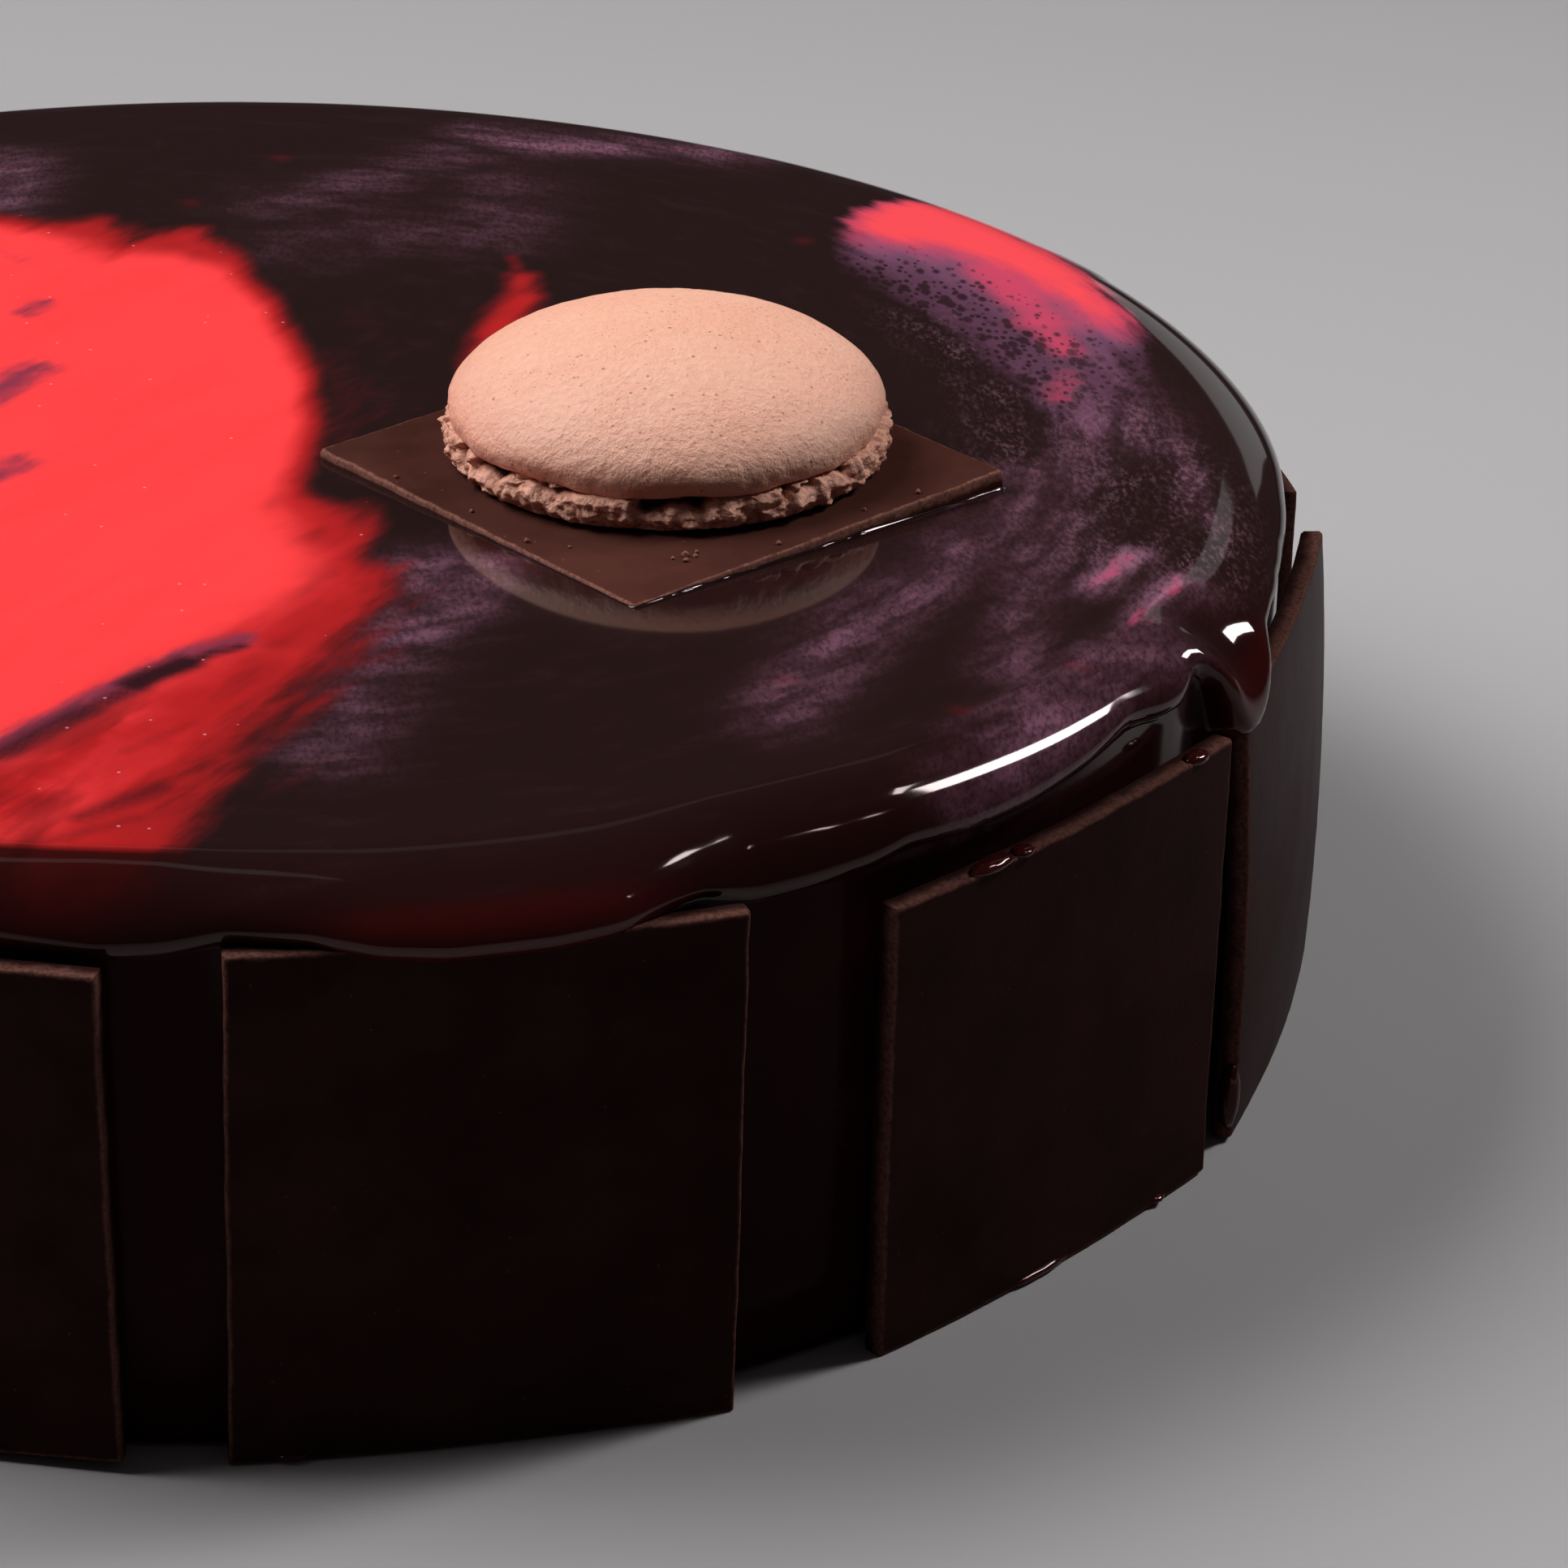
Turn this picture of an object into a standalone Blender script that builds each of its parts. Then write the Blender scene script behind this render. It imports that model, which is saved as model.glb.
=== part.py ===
"""Round dark chocolate cake under a poured mirror glaze.

Twelve thin bent chocolate plaques stand round its side, and one macaron shell lies on a
square chocolate tile on the top. Metres, +Z up. The origin is the centre of the base.
Azimuths are in degrees: 0 is the front (-Y), and they grow towards +X.
"""
import math
import random
from collections import namedtuple

import bmesh
import bpy
from mathutils import Vector, noise

MM = 0.001
NAME = "dark_chocolate_cake"
CONTACT_GAP = 0.3 * MM          # left between pieces that touch
WELD = 0.05 * MM                # merge distance of a turned shape's seam

# Glaze, which is the outside of the cake
GLAZE_R = 99.4 * MM
GLAZE_TOP = 51.6 * MM
GLAZE_TOP_THICK = 2.4 * MM      # deep enough for the tile that is pressed into it
GLAZE_SIDE_THICK = 1.2 * MM
GLAZE_FOOT = 0.6 * MM           # the glaze ends this far above the base
SHOULDER_R = 6.3 * MM
GLAZE_STEPS = 150
TOP_RINGS = (0.5, 0.84)         # shares of the radius
SIDE_RINGS = (0.6, 0.06)        # shares of the height

# Cake under the glaze
CAKE_R = GLAZE_R - GLAZE_SIDE_THICK - CONTACT_GAP
CAKE_TOP = GLAZE_TOP - GLAZE_TOP_THICK - CONTACT_GAP
CAKE_SHOULDER_R = SHOULDER_R - GLAZE_SIDE_THICK - CONTACT_GAP
CAKE_BASE_EDGE = 0.6 * MM
CAKE_STEPS = 72

# Rolled lip of thick glaze round the shoulder, and its runs. The profile has a close pair of
# rings at the lip, and the bead swells out above them and fades towards the top.
LIP_Z = 46.9 * MM
LIP_UNDERCUT = 0.35 * MM
LIP_ARC = 5.5                   # degrees of the shoulder between the lip and its next ring
BEAD_ARC = 9.0                  # degrees of the shoulder below the first plain ring
BEAD_SWELL = 0.65 * MM
BEAD_FULL = 1.0 * MM            # height above the lip where the bead is at its fullest
BEAD_FADE = 1.5 * MM            # height above the lip where it starts to fade
LIP_WAVES = ((5, 0.4, 0.20 * MM), (11, 2.1, 0.13 * MM))       # waves a turn, phase, height
BEAD_WAVES = ((4, 1.2, 0.12 * MM), (9, 0.3, 0.08 * MM))
Run = namedtuple("Run", "azimuth half_width drop swell")      # a negative drop is a scallop
SHOWN_RUNS = (
    Run(-12.0, 9.0, 1.3 * MM, 0.2 * MM),
    Run(-5.0, 3.4, 0.9 * MM, 0.2 * MM),
    Run(11.0, 11.0, -0.1 * MM, 2.2 * MM),
    Run(27.2, 4.8, 2.4 * MM, 0.5 * MM),
    Run(38.5, 7.5, 1.6 * MM, 0.7 * MM),
    Run(49.2, 2.4, -1.9 * MM, 0.0),
    Run(53.2, 3.4, 0.4 * MM, 0.9 * MM),
    Run(57.0, 2.2, -1.2 * MM, 0.0),
    Run(60.6, 4.6, 3.1 * MM, 3.4 * MM),
)
HIDDEN_RUN_DROP = (0.6 * MM, 3.4 * MM)
HIDDEN_RUN_SWELL = (0.3 * MM, 1.4 * MM)
HIDDEN_RUN_HALF_WIDTH = (2.8, 4.6)
RUN_SEED = 11

# Side plaques. Turn swings the right edge away from the cake, and roll leans the top to the
# left, in degrees. The foot stands further out than the top by lean, and the middle of the
# height bulges out by warp. Stand_off is the gap between the back and the plain glaze.
PLAQUE_THICK = 2.1 * MM
PLAQUE_BEND_R = 220.0 * MM      # flatter than the side of the cake
PLAQUE_COLUMNS = 8
PLAQUE_ROWS = 4
PLAQUE_EDGE = 0.25 * MM
Plaque = namedtuple(
    "Plaque", "azimuth width left_height right_height turn roll lean warp stand_off"
)
SHOWN_PLAQUES = (
    Plaque(-18.1, 44.4 * MM, 44.4 * MM, 44.0 * MM, 0.5, 1.4, 0.0, 0.0, 0.5 * MM),
    Plaque(11.1, 41.8 * MM, 46.2 * MM, 46.2 * MM, 2.6, -0.2, 0.0, 0.0, 0.4 * MM),
    Plaque(43.6, 44.3 * MM, 42.4 * MM, 42.9 * MM, 1.2, 0.4, 0.0, 0.0, 0.8 * MM),
    Plaque(70.6, 39.8 * MM, 42.6 * MM, 44.0 * MM, 1.2, -0.7, 1.5 * MM, 0.8 * MM, 0.4 * MM),
    Plaque(101.4, 43.0 * MM, 43.0 * MM, 43.4 * MM, 1.8, 0.2, 0.0, 0.2 * MM, 0.4 * MM),
)
HIDDEN_PLAQUE_COUNT = 7
HIDDEN_PLAQUE_WIDTH = (41.4 * MM, 44.6 * MM)
HIDDEN_PLAQUE_HEIGHT = (43.0 * MM, 45.2 * MM)
HIDDEN_PLAQUE_SLANT = 0.3 * MM  # half the most that its two sides differ in height
HIDDEN_PLAQUE_SHIFT = 0.8       # degrees
HIDDEN_PLAQUE_TURN = 1.4        # degrees
HIDDEN_PLAQUE_ROLL = 0.6        # degrees
HIDDEN_PLAQUE_LEAN = (0.0, 0.9 * MM)
HIDDEN_PLAQUE_WARP = (0.0, 0.6 * MM)
HIDDEN_PLAQUE_STAND_OFF = (0.3 * MM, 0.8 * MM)
PLAQUE_SEED = 5

# Square tile, pressed into the glaze most at its front corner. RISE is the height of its top
# face above the glaze at that corner, and how much higher the right and left corners stand.
TILE_SIDE = 44.6 * MM
TILE_THICK = 1.95 * MM
TILE_TURN = 36.3                # degrees about Z
TILE_CENTRE = (39.4 * MM, -16.5 * MM)
TILE_EDGE = 0.2 * MM
TILE_FRONT_RISE = 0.25 * MM
TILE_RIGHT_RISE = 1.7 * MM
TILE_LEFT_RISE = 0.66 * MM

# Macaron shell on the tile, off its centre along the tile's own sides
SHELL_OFFSET = (2.7 * MM, 2.1 * MM)
SHELL_STEPS = 72
DOME_R = 20.15 * MM
DOME_WIDEST = 5.0 * MM
DOME_TOP = 12.4 * MM
DOME_POWER = 1.75               # 2 is an ellipse, less is more pointed on top
DOME_ROWS = 8
DOME_RIM = 0.35 * MM            # rounding under the dome's widest ring
DOME_LOW = 4.2 * MM             # underside of the dome
GROOVE_R = 19.3 * MM
GROOVE_Z = 3.75 * MM
GROOVE_HALF = 0.7 * MM          # half the height that its pits reach
PIT_DEPTH = 1.5 * MM
PIT_SCALE = 330.0               # pits of about 3 mm
FOOT_R = 20.6 * MM
FOOT_SHOULDER_R = 20.1 * MM
FOOT_BOTTOM_R = 19.6 * MM
FOOT_HEIGHT = 3.3 * MM
FOOT_RINGS = (0.74, 0.48, 0.22)  # shares of its height
FOOT_BULGE = 0.25 * MM
FOOT_CRAG = 0.55 * MM
CRAG_SCALE = 620.0              # crags of about 1.6 mm

# Colour and roughness
BLACK_GLAZE = ((0.016, 0.006, 0.006, 1.0), 0.05)
CHOCOLATE = ((0.022, 0.009, 0.007, 1.0), 0.35)
SPONGE = ((0.05, 0.02, 0.012, 1.0), 0.8)
SHELL_PINK = ((0.66, 0.36, 0.26, 1.0), 0.7)


def clear_scene():
    for item in list(bpy.data.objects):
        bpy.data.objects.remove(item, do_unlink=True)


def make_collection(name):
    collection = bpy.data.collections.new(name)
    bpy.context.scene.collection.children.link(collection)
    return collection


def make_material(name, look):
    colour, roughness = look
    material = bpy.data.materials.new(name)
    material.use_nodes = True
    shader = material.node_tree.nodes["Principled BSDF"]
    shader.inputs["Base Color"].default_value = colour
    shader.inputs["Roughness"].default_value = roughness
    shader.inputs["Metallic"].default_value = 0.0
    return material


def add_object(name, mesh, material, collection):
    item = bpy.data.objects.new(name, mesh)
    item.data.materials.append(material)
    collection.objects.link(item)
    return item


def smooth(value, low, high):
    """Smooth step from 0 at low to 1 at high."""
    share = min(max((value - low) / (high - low), 0.0), 1.0)
    return share * share * (3.0 - 2.0 * share)


def bell(distance, half_width):
    """Smooth bump: 1 over its middle third, 0 from half_width outwards."""
    return 1.0 - smooth(abs(distance), 0.35 * half_width, half_width)


def azimuth_gap(first, second):
    """Signed difference of two azimuths, within half a turn."""
    return (first - second + 180.0) % 360.0 - 180.0


def arc_points(centre_r, centre_z, radius, first, last, count):
    """Points of a profile's arc, from angle first to last above the horizontal."""
    points = []
    for index in range(count + 1):
        angle = math.radians(first + (last - first) * index / count)
        points.append((centre_r + radius * math.cos(angle), centre_z + radius * math.sin(angle)))
    return points


def turned_mesh(name, profile, steps):
    """Mesh of a profile, outer side first from the axis down, turned about Z by a Screw."""
    outline = bpy.data.meshes.new(name + "_profile")
    edges = [(index, index + 1) for index in range(len(profile) - 1)]
    outline.from_pydata([(radius, 0.0, z) for radius, z in profile], edges, [])
    item = bpy.data.objects.new(name + "_profile", outline)
    bpy.context.scene.collection.objects.link(item)
    screw = item.modifiers.new("turn", "SCREW")
    screw.steps = steps
    screw.render_steps = steps
    screw.use_merge_vertices = True
    screw.merge_threshold = WELD
    mesh = bpy.data.meshes.new_from_object(item.evaluated_get(bpy.context.evaluated_depsgraph_get()))
    bpy.data.objects.remove(item, do_unlink=True)
    mesh.name = name
    return mesh


def finish_mesh(mesh, sharp_angle):
    mesh.shade_smooth()
    mesh.set_sharp_from_angle(angle=math.radians(sharp_angle))


def vertex_azimuth(point):
    return math.degrees(math.atan2(point.x, -point.y))


def hidden_plaques():
    """Plaques on the sides that the photograph doesn't show, spread evenly between the others."""
    draw = random.Random(PLAQUE_SEED)
    plaques = []
    last = SHOWN_PLAQUES[-1].azimuth
    pitch = (SHOWN_PLAQUES[0].azimuth + 360.0 - last) / (HIDDEN_PLAQUE_COUNT + 1)
    for index in range(1, HIDDEN_PLAQUE_COUNT + 1):
        height = draw.uniform(*HIDDEN_PLAQUE_HEIGHT)
        slant = draw.uniform(-HIDDEN_PLAQUE_SLANT, HIDDEN_PLAQUE_SLANT)
        shift = draw.uniform(-HIDDEN_PLAQUE_SHIFT, HIDDEN_PLAQUE_SHIFT)
        plaques.append(Plaque(
            azimuth=last + pitch * index + shift,
            width=draw.uniform(*HIDDEN_PLAQUE_WIDTH),
            left_height=height + slant,
            right_height=height - slant,
            turn=draw.uniform(-HIDDEN_PLAQUE_TURN, HIDDEN_PLAQUE_TURN),
            roll=draw.uniform(-HIDDEN_PLAQUE_ROLL, HIDDEN_PLAQUE_ROLL),
            lean=draw.uniform(*HIDDEN_PLAQUE_LEAN),
            warp=draw.uniform(*HIDDEN_PLAQUE_WARP),
            stand_off=draw.uniform(*HIDDEN_PLAQUE_STAND_OFF),
        ))
    return plaques


def glaze_runs(plaques):
    """Runs that show, and one drawn at random in each gap between hidden plaques."""
    draw = random.Random(RUN_SEED)
    runs = list(SHOWN_RUNS)
    first_hidden = len(SHOWN_PLAQUES) - 1
    for left, right in zip(plaques[first_hidden:], plaques[first_hidden + 1:] + plaques[:1]):
        middle = left.azimuth + azimuth_gap(right.azimuth, left.azimuth) / 2.0
        half_width = draw.uniform(*HIDDEN_RUN_HALF_WIDTH)
        drop = draw.uniform(*HIDDEN_RUN_DROP)
        runs.append(Run(middle, half_width, drop, draw.uniform(*HIDDEN_RUN_SWELL)))
    return runs


def waves(azimuth, table):
    angle = math.radians(azimuth)
    return sum(height * math.sin(count * angle + phase) for count, phase, height in table)


def lip_drop(azimuth, runs):
    drop = sum(run.drop * bell(azimuth_gap(azimuth, run.azimuth), run.half_width) for run in runs)
    return drop + waves(azimuth, LIP_WAVES)


def bead_swell(azimuth, runs):
    swell = sum(run.swell * bell(azimuth_gap(azimuth, run.azimuth), run.half_width) for run in runs)
    return BEAD_SWELL + swell + waves(azimuth, BEAD_WAVES)


def side_radius(z):
    """Radius of the plain glaze, before its bead, at a height."""
    above = z - (GLAZE_TOP - SHOULDER_R)
    if above <= 0.0:
        return GLAZE_R
    return GLAZE_R - SHOULDER_R + math.sqrt(max(SHOULDER_R ** 2 - above ** 2, 0.0))


def glaze_profile():
    """Outer side from the middle of the top to the foot, then the inner side back up."""
    centre = (GLAZE_R - SHOULDER_R, GLAZE_TOP - SHOULDER_R)
    lip_angle = math.degrees(math.asin((LIP_Z - centre[1]) / SHOULDER_R))
    outer = [(0.0, GLAZE_TOP)] + [(share * GLAZE_R, GLAZE_TOP) for share in TOP_RINGS]
    outer += arc_points(*centre, SHOULDER_R, 90.0, lip_angle + BEAD_ARC, 6)
    outer += arc_points(*centre, SHOULDER_R, lip_angle + LIP_ARC, lip_angle, 2)
    side_heights = [share * GLAZE_TOP for share in SIDE_RINGS]
    for z in [LIP_Z - LIP_UNDERCUT, centre[1]] + side_heights + [GLAZE_FOOT]:
        outer.append((side_radius(z), z))
    inner_r = GLAZE_R - GLAZE_SIDE_THICK
    inner_top = GLAZE_TOP - GLAZE_TOP_THICK
    inner_arc = SHOULDER_R - GLAZE_SIDE_THICK
    inner = [(inner_r, GLAZE_FOOT), (inner_r, side_heights[0])]
    inner += arc_points(inner_r - inner_arc, inner_top - inner_arc, inner_arc, 0.0, 90.0, 3)
    return outer + inner + [(TOP_RINGS[0] * GLAZE_R, inner_top), (0.0, inner_top)]


def raise_glaze_relief(mesh, runs):
    """Move the lip up or down with its runs and swell the bead above it."""
    side_ring = SIDE_RINGS[0] * GLAZE_TOP
    for vertex in mesh.vertices:
        point = vertex.co
        radius = math.hypot(point.x, point.y)
        inside = radius < side_radius(point.z) - GLAZE_SIDE_THICK / 2.0
        if inside or point.z > GLAZE_TOP - WELD:
            continue
        azimuth = vertex_azimuth(point)
        lower = smooth(point.z, side_ring, LIP_Z - LIP_UNDERCUT)
        upper = 1.0 - smooth(point.z, LIP_Z + BEAD_FULL / 2.0, GLAZE_TOP)
        z = point.z - lip_drop(azimuth, runs) * lower * upper
        full = smooth(point.z, LIP_Z - WELD, LIP_Z + BEAD_FULL)
        fade = 1.0 - smooth(point.z, LIP_Z + BEAD_FADE, GLAZE_TOP)
        reach = side_radius(z) + bead_swell(azimuth, runs) * full * fade
        vertex.co = Vector((point.x * reach / radius, point.y * reach / radius, z))


def build_glaze(runs, pocket, material, collection):
    """The glaze, with the pocket that the tile has pressed into its top."""
    mesh = turned_mesh("mirror_glaze", glaze_profile(), GLAZE_STEPS)
    raise_glaze_relief(mesh, runs)
    finish_mesh(mesh, 50.0)
    item = add_object("mirror_glaze", mesh, material, collection)
    cut = item.modifiers.new("pocket", "BOOLEAN")
    cut.operation = "DIFFERENCE"
    cut.object = pocket
    return item


def build_cake(material, collection):
    centre = (CAKE_R - CAKE_SHOULDER_R, CAKE_TOP - CAKE_SHOULDER_R)
    profile = [(0.0, CAKE_TOP)] + arc_points(*centre, CAKE_SHOULDER_R, 90.0, 0.0, 3)
    profile += [(CAKE_R, CAKE_BASE_EDGE), (CAKE_R - CAKE_BASE_EDGE, 0.0), (0.0, 0.0)]
    mesh = turned_mesh("cake_body", profile, CAKE_STEPS)
    finish_mesh(mesh, 40.0)
    return add_object("cake_body", mesh, material, collection)


def plaque_back(plaque, across):
    """Place of the bent back face, seen from above: along the side and outwards."""
    turn = math.radians(plaque.turn)
    bow = across * across / (2.0 * PLAQUE_BEND_R)
    along = across * math.cos(turn) + bow * math.sin(turn)
    return along, across * math.sin(turn) - bow * math.cos(turn)


def plaque_distance(plaque):
    """Distance from the cake's axis at which the back's top just leans on the glaze."""
    lean_r = GLAZE_R + plaque.stand_off
    needed = []
    for step in range(-PLAQUE_COLUMNS, PLAQUE_COLUMNS + 1):
        along, out = plaque_back(plaque, plaque.width * step / (2.0 * PLAQUE_COLUMNS))
        needed.append(math.sqrt(lean_r ** 2 - along ** 2) - out)
    return max(needed)


def plaque_mesh(name, plaque):
    """Back face of a plaque as a bent sheet: along X, outwards along -Y, its low corner at 0."""
    distance = plaque_distance(plaque)
    roll = math.radians(plaque.roll)
    lift = abs(math.sin(roll)) * plaque.width / 2.0
    sheet = bmesh.new()
    bmesh.ops.create_grid(sheet, x_segments=PLAQUE_COLUMNS, y_segments=PLAQUE_ROWS, size=0.5)
    for vertex in sheet.verts:
        right = vertex.co.x + 0.5
        up = vertex.co.y + 0.5
        height = up * (plaque.left_height + (plaque.right_height - plaque.left_height) * right)
        across = vertex.co.x * plaque.width
        along, out = plaque_back(plaque, across)
        out += plaque.lean * (1.0 - up) + plaque.warp * 4.0 * up * (1.0 - up)
        z = lift + across * math.sin(roll) + height * math.cos(roll)
        vertex.co = Vector((along - height * math.sin(roll), -distance - out, z))
    sheet.faces.ensure_lookup_table()
    if sheet.faces[0].normal.y > 0.0:
        bmesh.ops.reverse_faces(sheet, faces=sheet.faces)
    mesh = bpy.data.meshes.new(name)
    sheet.to_mesh(mesh)
    sheet.free()
    return mesh


def build_plaque(name, plaque, material, collection):
    item = add_object(name, plaque_mesh(name, plaque), material, collection)
    thicken = item.modifiers.new("thickness", "SOLIDIFY")
    thicken.thickness = PLAQUE_THICK
    thicken.offset = 1.0
    edge = item.modifiers.new("edge", "BEVEL")
    edge.width = PLAQUE_EDGE
    edge.segments = 1
    edge.angle_limit = math.radians(50.0)
    item.rotation_euler = (0.0, 0.0, math.radians(plaque.azimuth))
    return item


def box_mesh(name, size):
    box = bmesh.new()
    bmesh.ops.create_cube(box, size=1.0)
    bmesh.ops.scale(box, vec=size, verts=box.verts)
    mesh = bpy.data.meshes.new(name)
    box.to_mesh(mesh)
    box.free()
    return mesh


def place_tile(collection):
    """Empty in the middle of the tile's top face, with the tile's turn and slope."""
    place = bpy.data.objects.new("tile_place", None)
    collection.objects.link(place)
    rise = TILE_FRONT_RISE + (TILE_RIGHT_RISE + TILE_LEFT_RISE) / 2.0
    place.location = (TILE_CENTRE[0], TILE_CENTRE[1], GLAZE_TOP + rise)
    slope_x = math.atan2(TILE_RIGHT_RISE, TILE_SIDE)
    slope_y = math.atan2(TILE_LEFT_RISE, TILE_SIDE)
    place.rotation_euler = (slope_y, -slope_x, math.radians(TILE_TURN))
    return place


def build_tile(place, material, collection):
    size = (TILE_SIDE, TILE_SIDE, TILE_THICK)
    item = add_object("top_tile", box_mesh("top_tile", size), material, collection)
    edge = item.modifiers.new("edge", "BEVEL")
    edge.width = TILE_EDGE
    edge.segments = 2
    item.parent = place
    item.location = (0.0, 0.0, -TILE_THICK / 2.0)
    return item


def build_pocket_cutter(place, collection):
    """The tile grown by the gap that stays round it."""
    room = 2.0 * CONTACT_GAP
    size = (TILE_SIDE + room, TILE_SIDE + room, TILE_THICK + room)
    cutter = bpy.data.objects.new("pocket_cutter", box_mesh("pocket_cutter", size))
    collection.objects.link(cutter)
    cutter.parent = place
    cutter.location = (0.0, 0.0, -TILE_THICK / 2.0)
    cutter.hide_render = True
    cutter.display_type = "WIRE"
    return cutter


def shell_profile():
    """Smooth dome, the groove under its rim, and the foot."""
    profile = [(0.0, DOME_TOP)]
    power = 2.0 / DOME_POWER
    for index in range(1, DOME_ROWS + 1):
        angle = math.radians(90.0 * (1.0 - index / DOME_ROWS))
        z = DOME_WIDEST + (DOME_TOP - DOME_WIDEST) * math.sin(angle) ** power
        profile.append((DOME_R * math.cos(angle) ** power, z))
    profile.append((DOME_R - DOME_RIM, DOME_LOW + DOME_RIM))
    profile.append((GROOVE_R + DOME_RIM, DOME_LOW))
    profile.append((GROOVE_R, GROOVE_Z))
    profile.append((FOOT_SHOULDER_R, FOOT_HEIGHT))
    for share in FOOT_RINGS:
        profile.append((FOOT_R + FOOT_BULGE * (math.sin(math.pi * share) - 0.6), FOOT_HEIGHT * share))
    profile += [(FOOT_BOTTOM_R, 0.0), (0.0, 0.0)]
    return profile


def roughen_foot(mesh):
    """Crags on the foot and pits in the groove under the dome."""
    for vertex in mesh.vertices:
        point = vertex.co
        radius = math.hypot(point.x, point.y)
        if radius < FOOT_BOTTOM_R / 2.0 or not WELD < point.z < DOME_LOW + WELD:
            continue
        crag = noise.fractal(point * CRAG_SCALE, 0.8, 2.0, 3) * FOOT_CRAG
        near_groove = bell(point.z - GROOVE_Z, GROOVE_HALF)
        pit = max(noise.noise(point * PIT_SCALE + Vector((5.0, 0.0, 0.0))), 0.0) * PIT_DEPTH
        reach = radius + crag * (1.0 - near_groove) - pit * near_groove
        vertex.co = Vector((point.x * reach / radius, point.y * reach / radius, point.z))


def build_shell(place, material, collection):
    mesh = turned_mesh("macaron_shell", shell_profile(), SHELL_STEPS)
    roughen_foot(mesh)
    finish_mesh(mesh, 40.0)
    item = add_object("macaron_shell", mesh, material, collection)
    item.parent = place
    item.location = (SHELL_OFFSET[0], SHELL_OFFSET[1], CONTACT_GAP)
    return item


def main():
    clear_scene()
    collection = make_collection(NAME)
    cutters = make_collection("cutters")
    glaze = make_material("glaze", BLACK_GLAZE)
    chocolate = make_material("chocolate", CHOCOLATE)
    sponge = make_material("cake", SPONGE)
    shell = make_material("macaron", SHELL_PINK)

    plaques = list(SHOWN_PLAQUES) + hidden_plaques()
    place = place_tile(collection)
    pocket = build_pocket_cutter(place, cutters)
    build_cake(sponge, collection)
    build_glaze(glaze_runs(plaques), pocket, glaze, collection)
    for number, plaque in enumerate(plaques, start=1):
        build_plaque("side_plaque_%02d" % number, plaque, chocolate, collection)
    build_tile(place, chocolate, collection)
    build_shell(place, shell, collection)


main()
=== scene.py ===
"""Looks of the dark chocolate cake: a marbled mirror glaze with its rolled lip and runs, thin
chocolate plaques round the side, and a macaron shell on a chocolate tile.

Metres, +Z up. Azimuths are in degrees: 0 is the front (-Y), and they grow towards +X.
Marbling is drawn on the top seen from above, in millimetres.
"""

import math
import random
from collections import namedtuple

import bmesh
import bpy
import numpy as np
from mathutils import Euler, Matrix, Vector, noise

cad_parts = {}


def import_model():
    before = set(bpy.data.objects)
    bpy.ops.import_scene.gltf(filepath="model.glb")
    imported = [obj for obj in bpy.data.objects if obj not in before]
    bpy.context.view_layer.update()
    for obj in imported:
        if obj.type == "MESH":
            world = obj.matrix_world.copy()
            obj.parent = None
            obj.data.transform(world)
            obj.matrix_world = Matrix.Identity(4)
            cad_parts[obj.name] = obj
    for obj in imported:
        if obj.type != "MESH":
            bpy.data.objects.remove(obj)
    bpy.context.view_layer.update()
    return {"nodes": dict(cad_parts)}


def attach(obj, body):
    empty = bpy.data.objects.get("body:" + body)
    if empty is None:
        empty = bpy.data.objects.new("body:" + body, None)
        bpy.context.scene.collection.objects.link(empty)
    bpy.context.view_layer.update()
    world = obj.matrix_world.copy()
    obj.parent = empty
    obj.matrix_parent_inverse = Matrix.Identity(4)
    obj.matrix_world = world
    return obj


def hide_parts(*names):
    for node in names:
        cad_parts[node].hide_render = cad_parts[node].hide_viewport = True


MM = 0.001

# Glaze: its plain shape, as in the CAD model
GLAZE_R = 99.4 * MM
GLAZE_TOP = 51.6 * MM
GLAZE_FOOT = 0.6 * MM
GLAZE_SKIN = 1.0 * MM
SHOULDER_R = 6.3 * MM
SHOULDER_START = 92.5 * MM  # radius where the flat top ends
SHOULDER_POWER = 1.75  # 2 is an ellipse, less is flatter in its middle
GLAZE_STEPS = 720
TOP_ROWS = 80
TOP_CROWDING = 0.72  # below 1 the top's rows are closer together towards its rim
SHOULDER_ROWS = 28
LIP_ROWS = 8
SIDE_ROWS = 6

# Rolled lip of thick glaze round the shoulder, and its runs
LIP_Z = 46.9 * MM
LIP_UNDERCUT = 0.35 * MM
LIP_GLOW_TO = GLAZE_R + 2.0 * MM  # unrolled radius where the painted dark red glow of the shoulder and lip is at its fullest
BEAD_SWELL = 0.65 * MM
BEAD_FULL = 1.1 * MM  # height above the lip where the bead is at its fullest
BEAD_FATNESS = 0.35  # how much higher a fat bead is at its fullest, per mm of swell
FLOW_SPREAD = 0.35  # degrees over which the runs melt into the lip
LIP_WAVES = ((5, 0.4, 0.20 * MM), (11, 2.1, 0.13 * MM))  # waves a turn, phase, height
BEAD_WAVES = ((4, 1.2, 0.12 * MM), (9, 0.3, 0.08 * MM))
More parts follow.
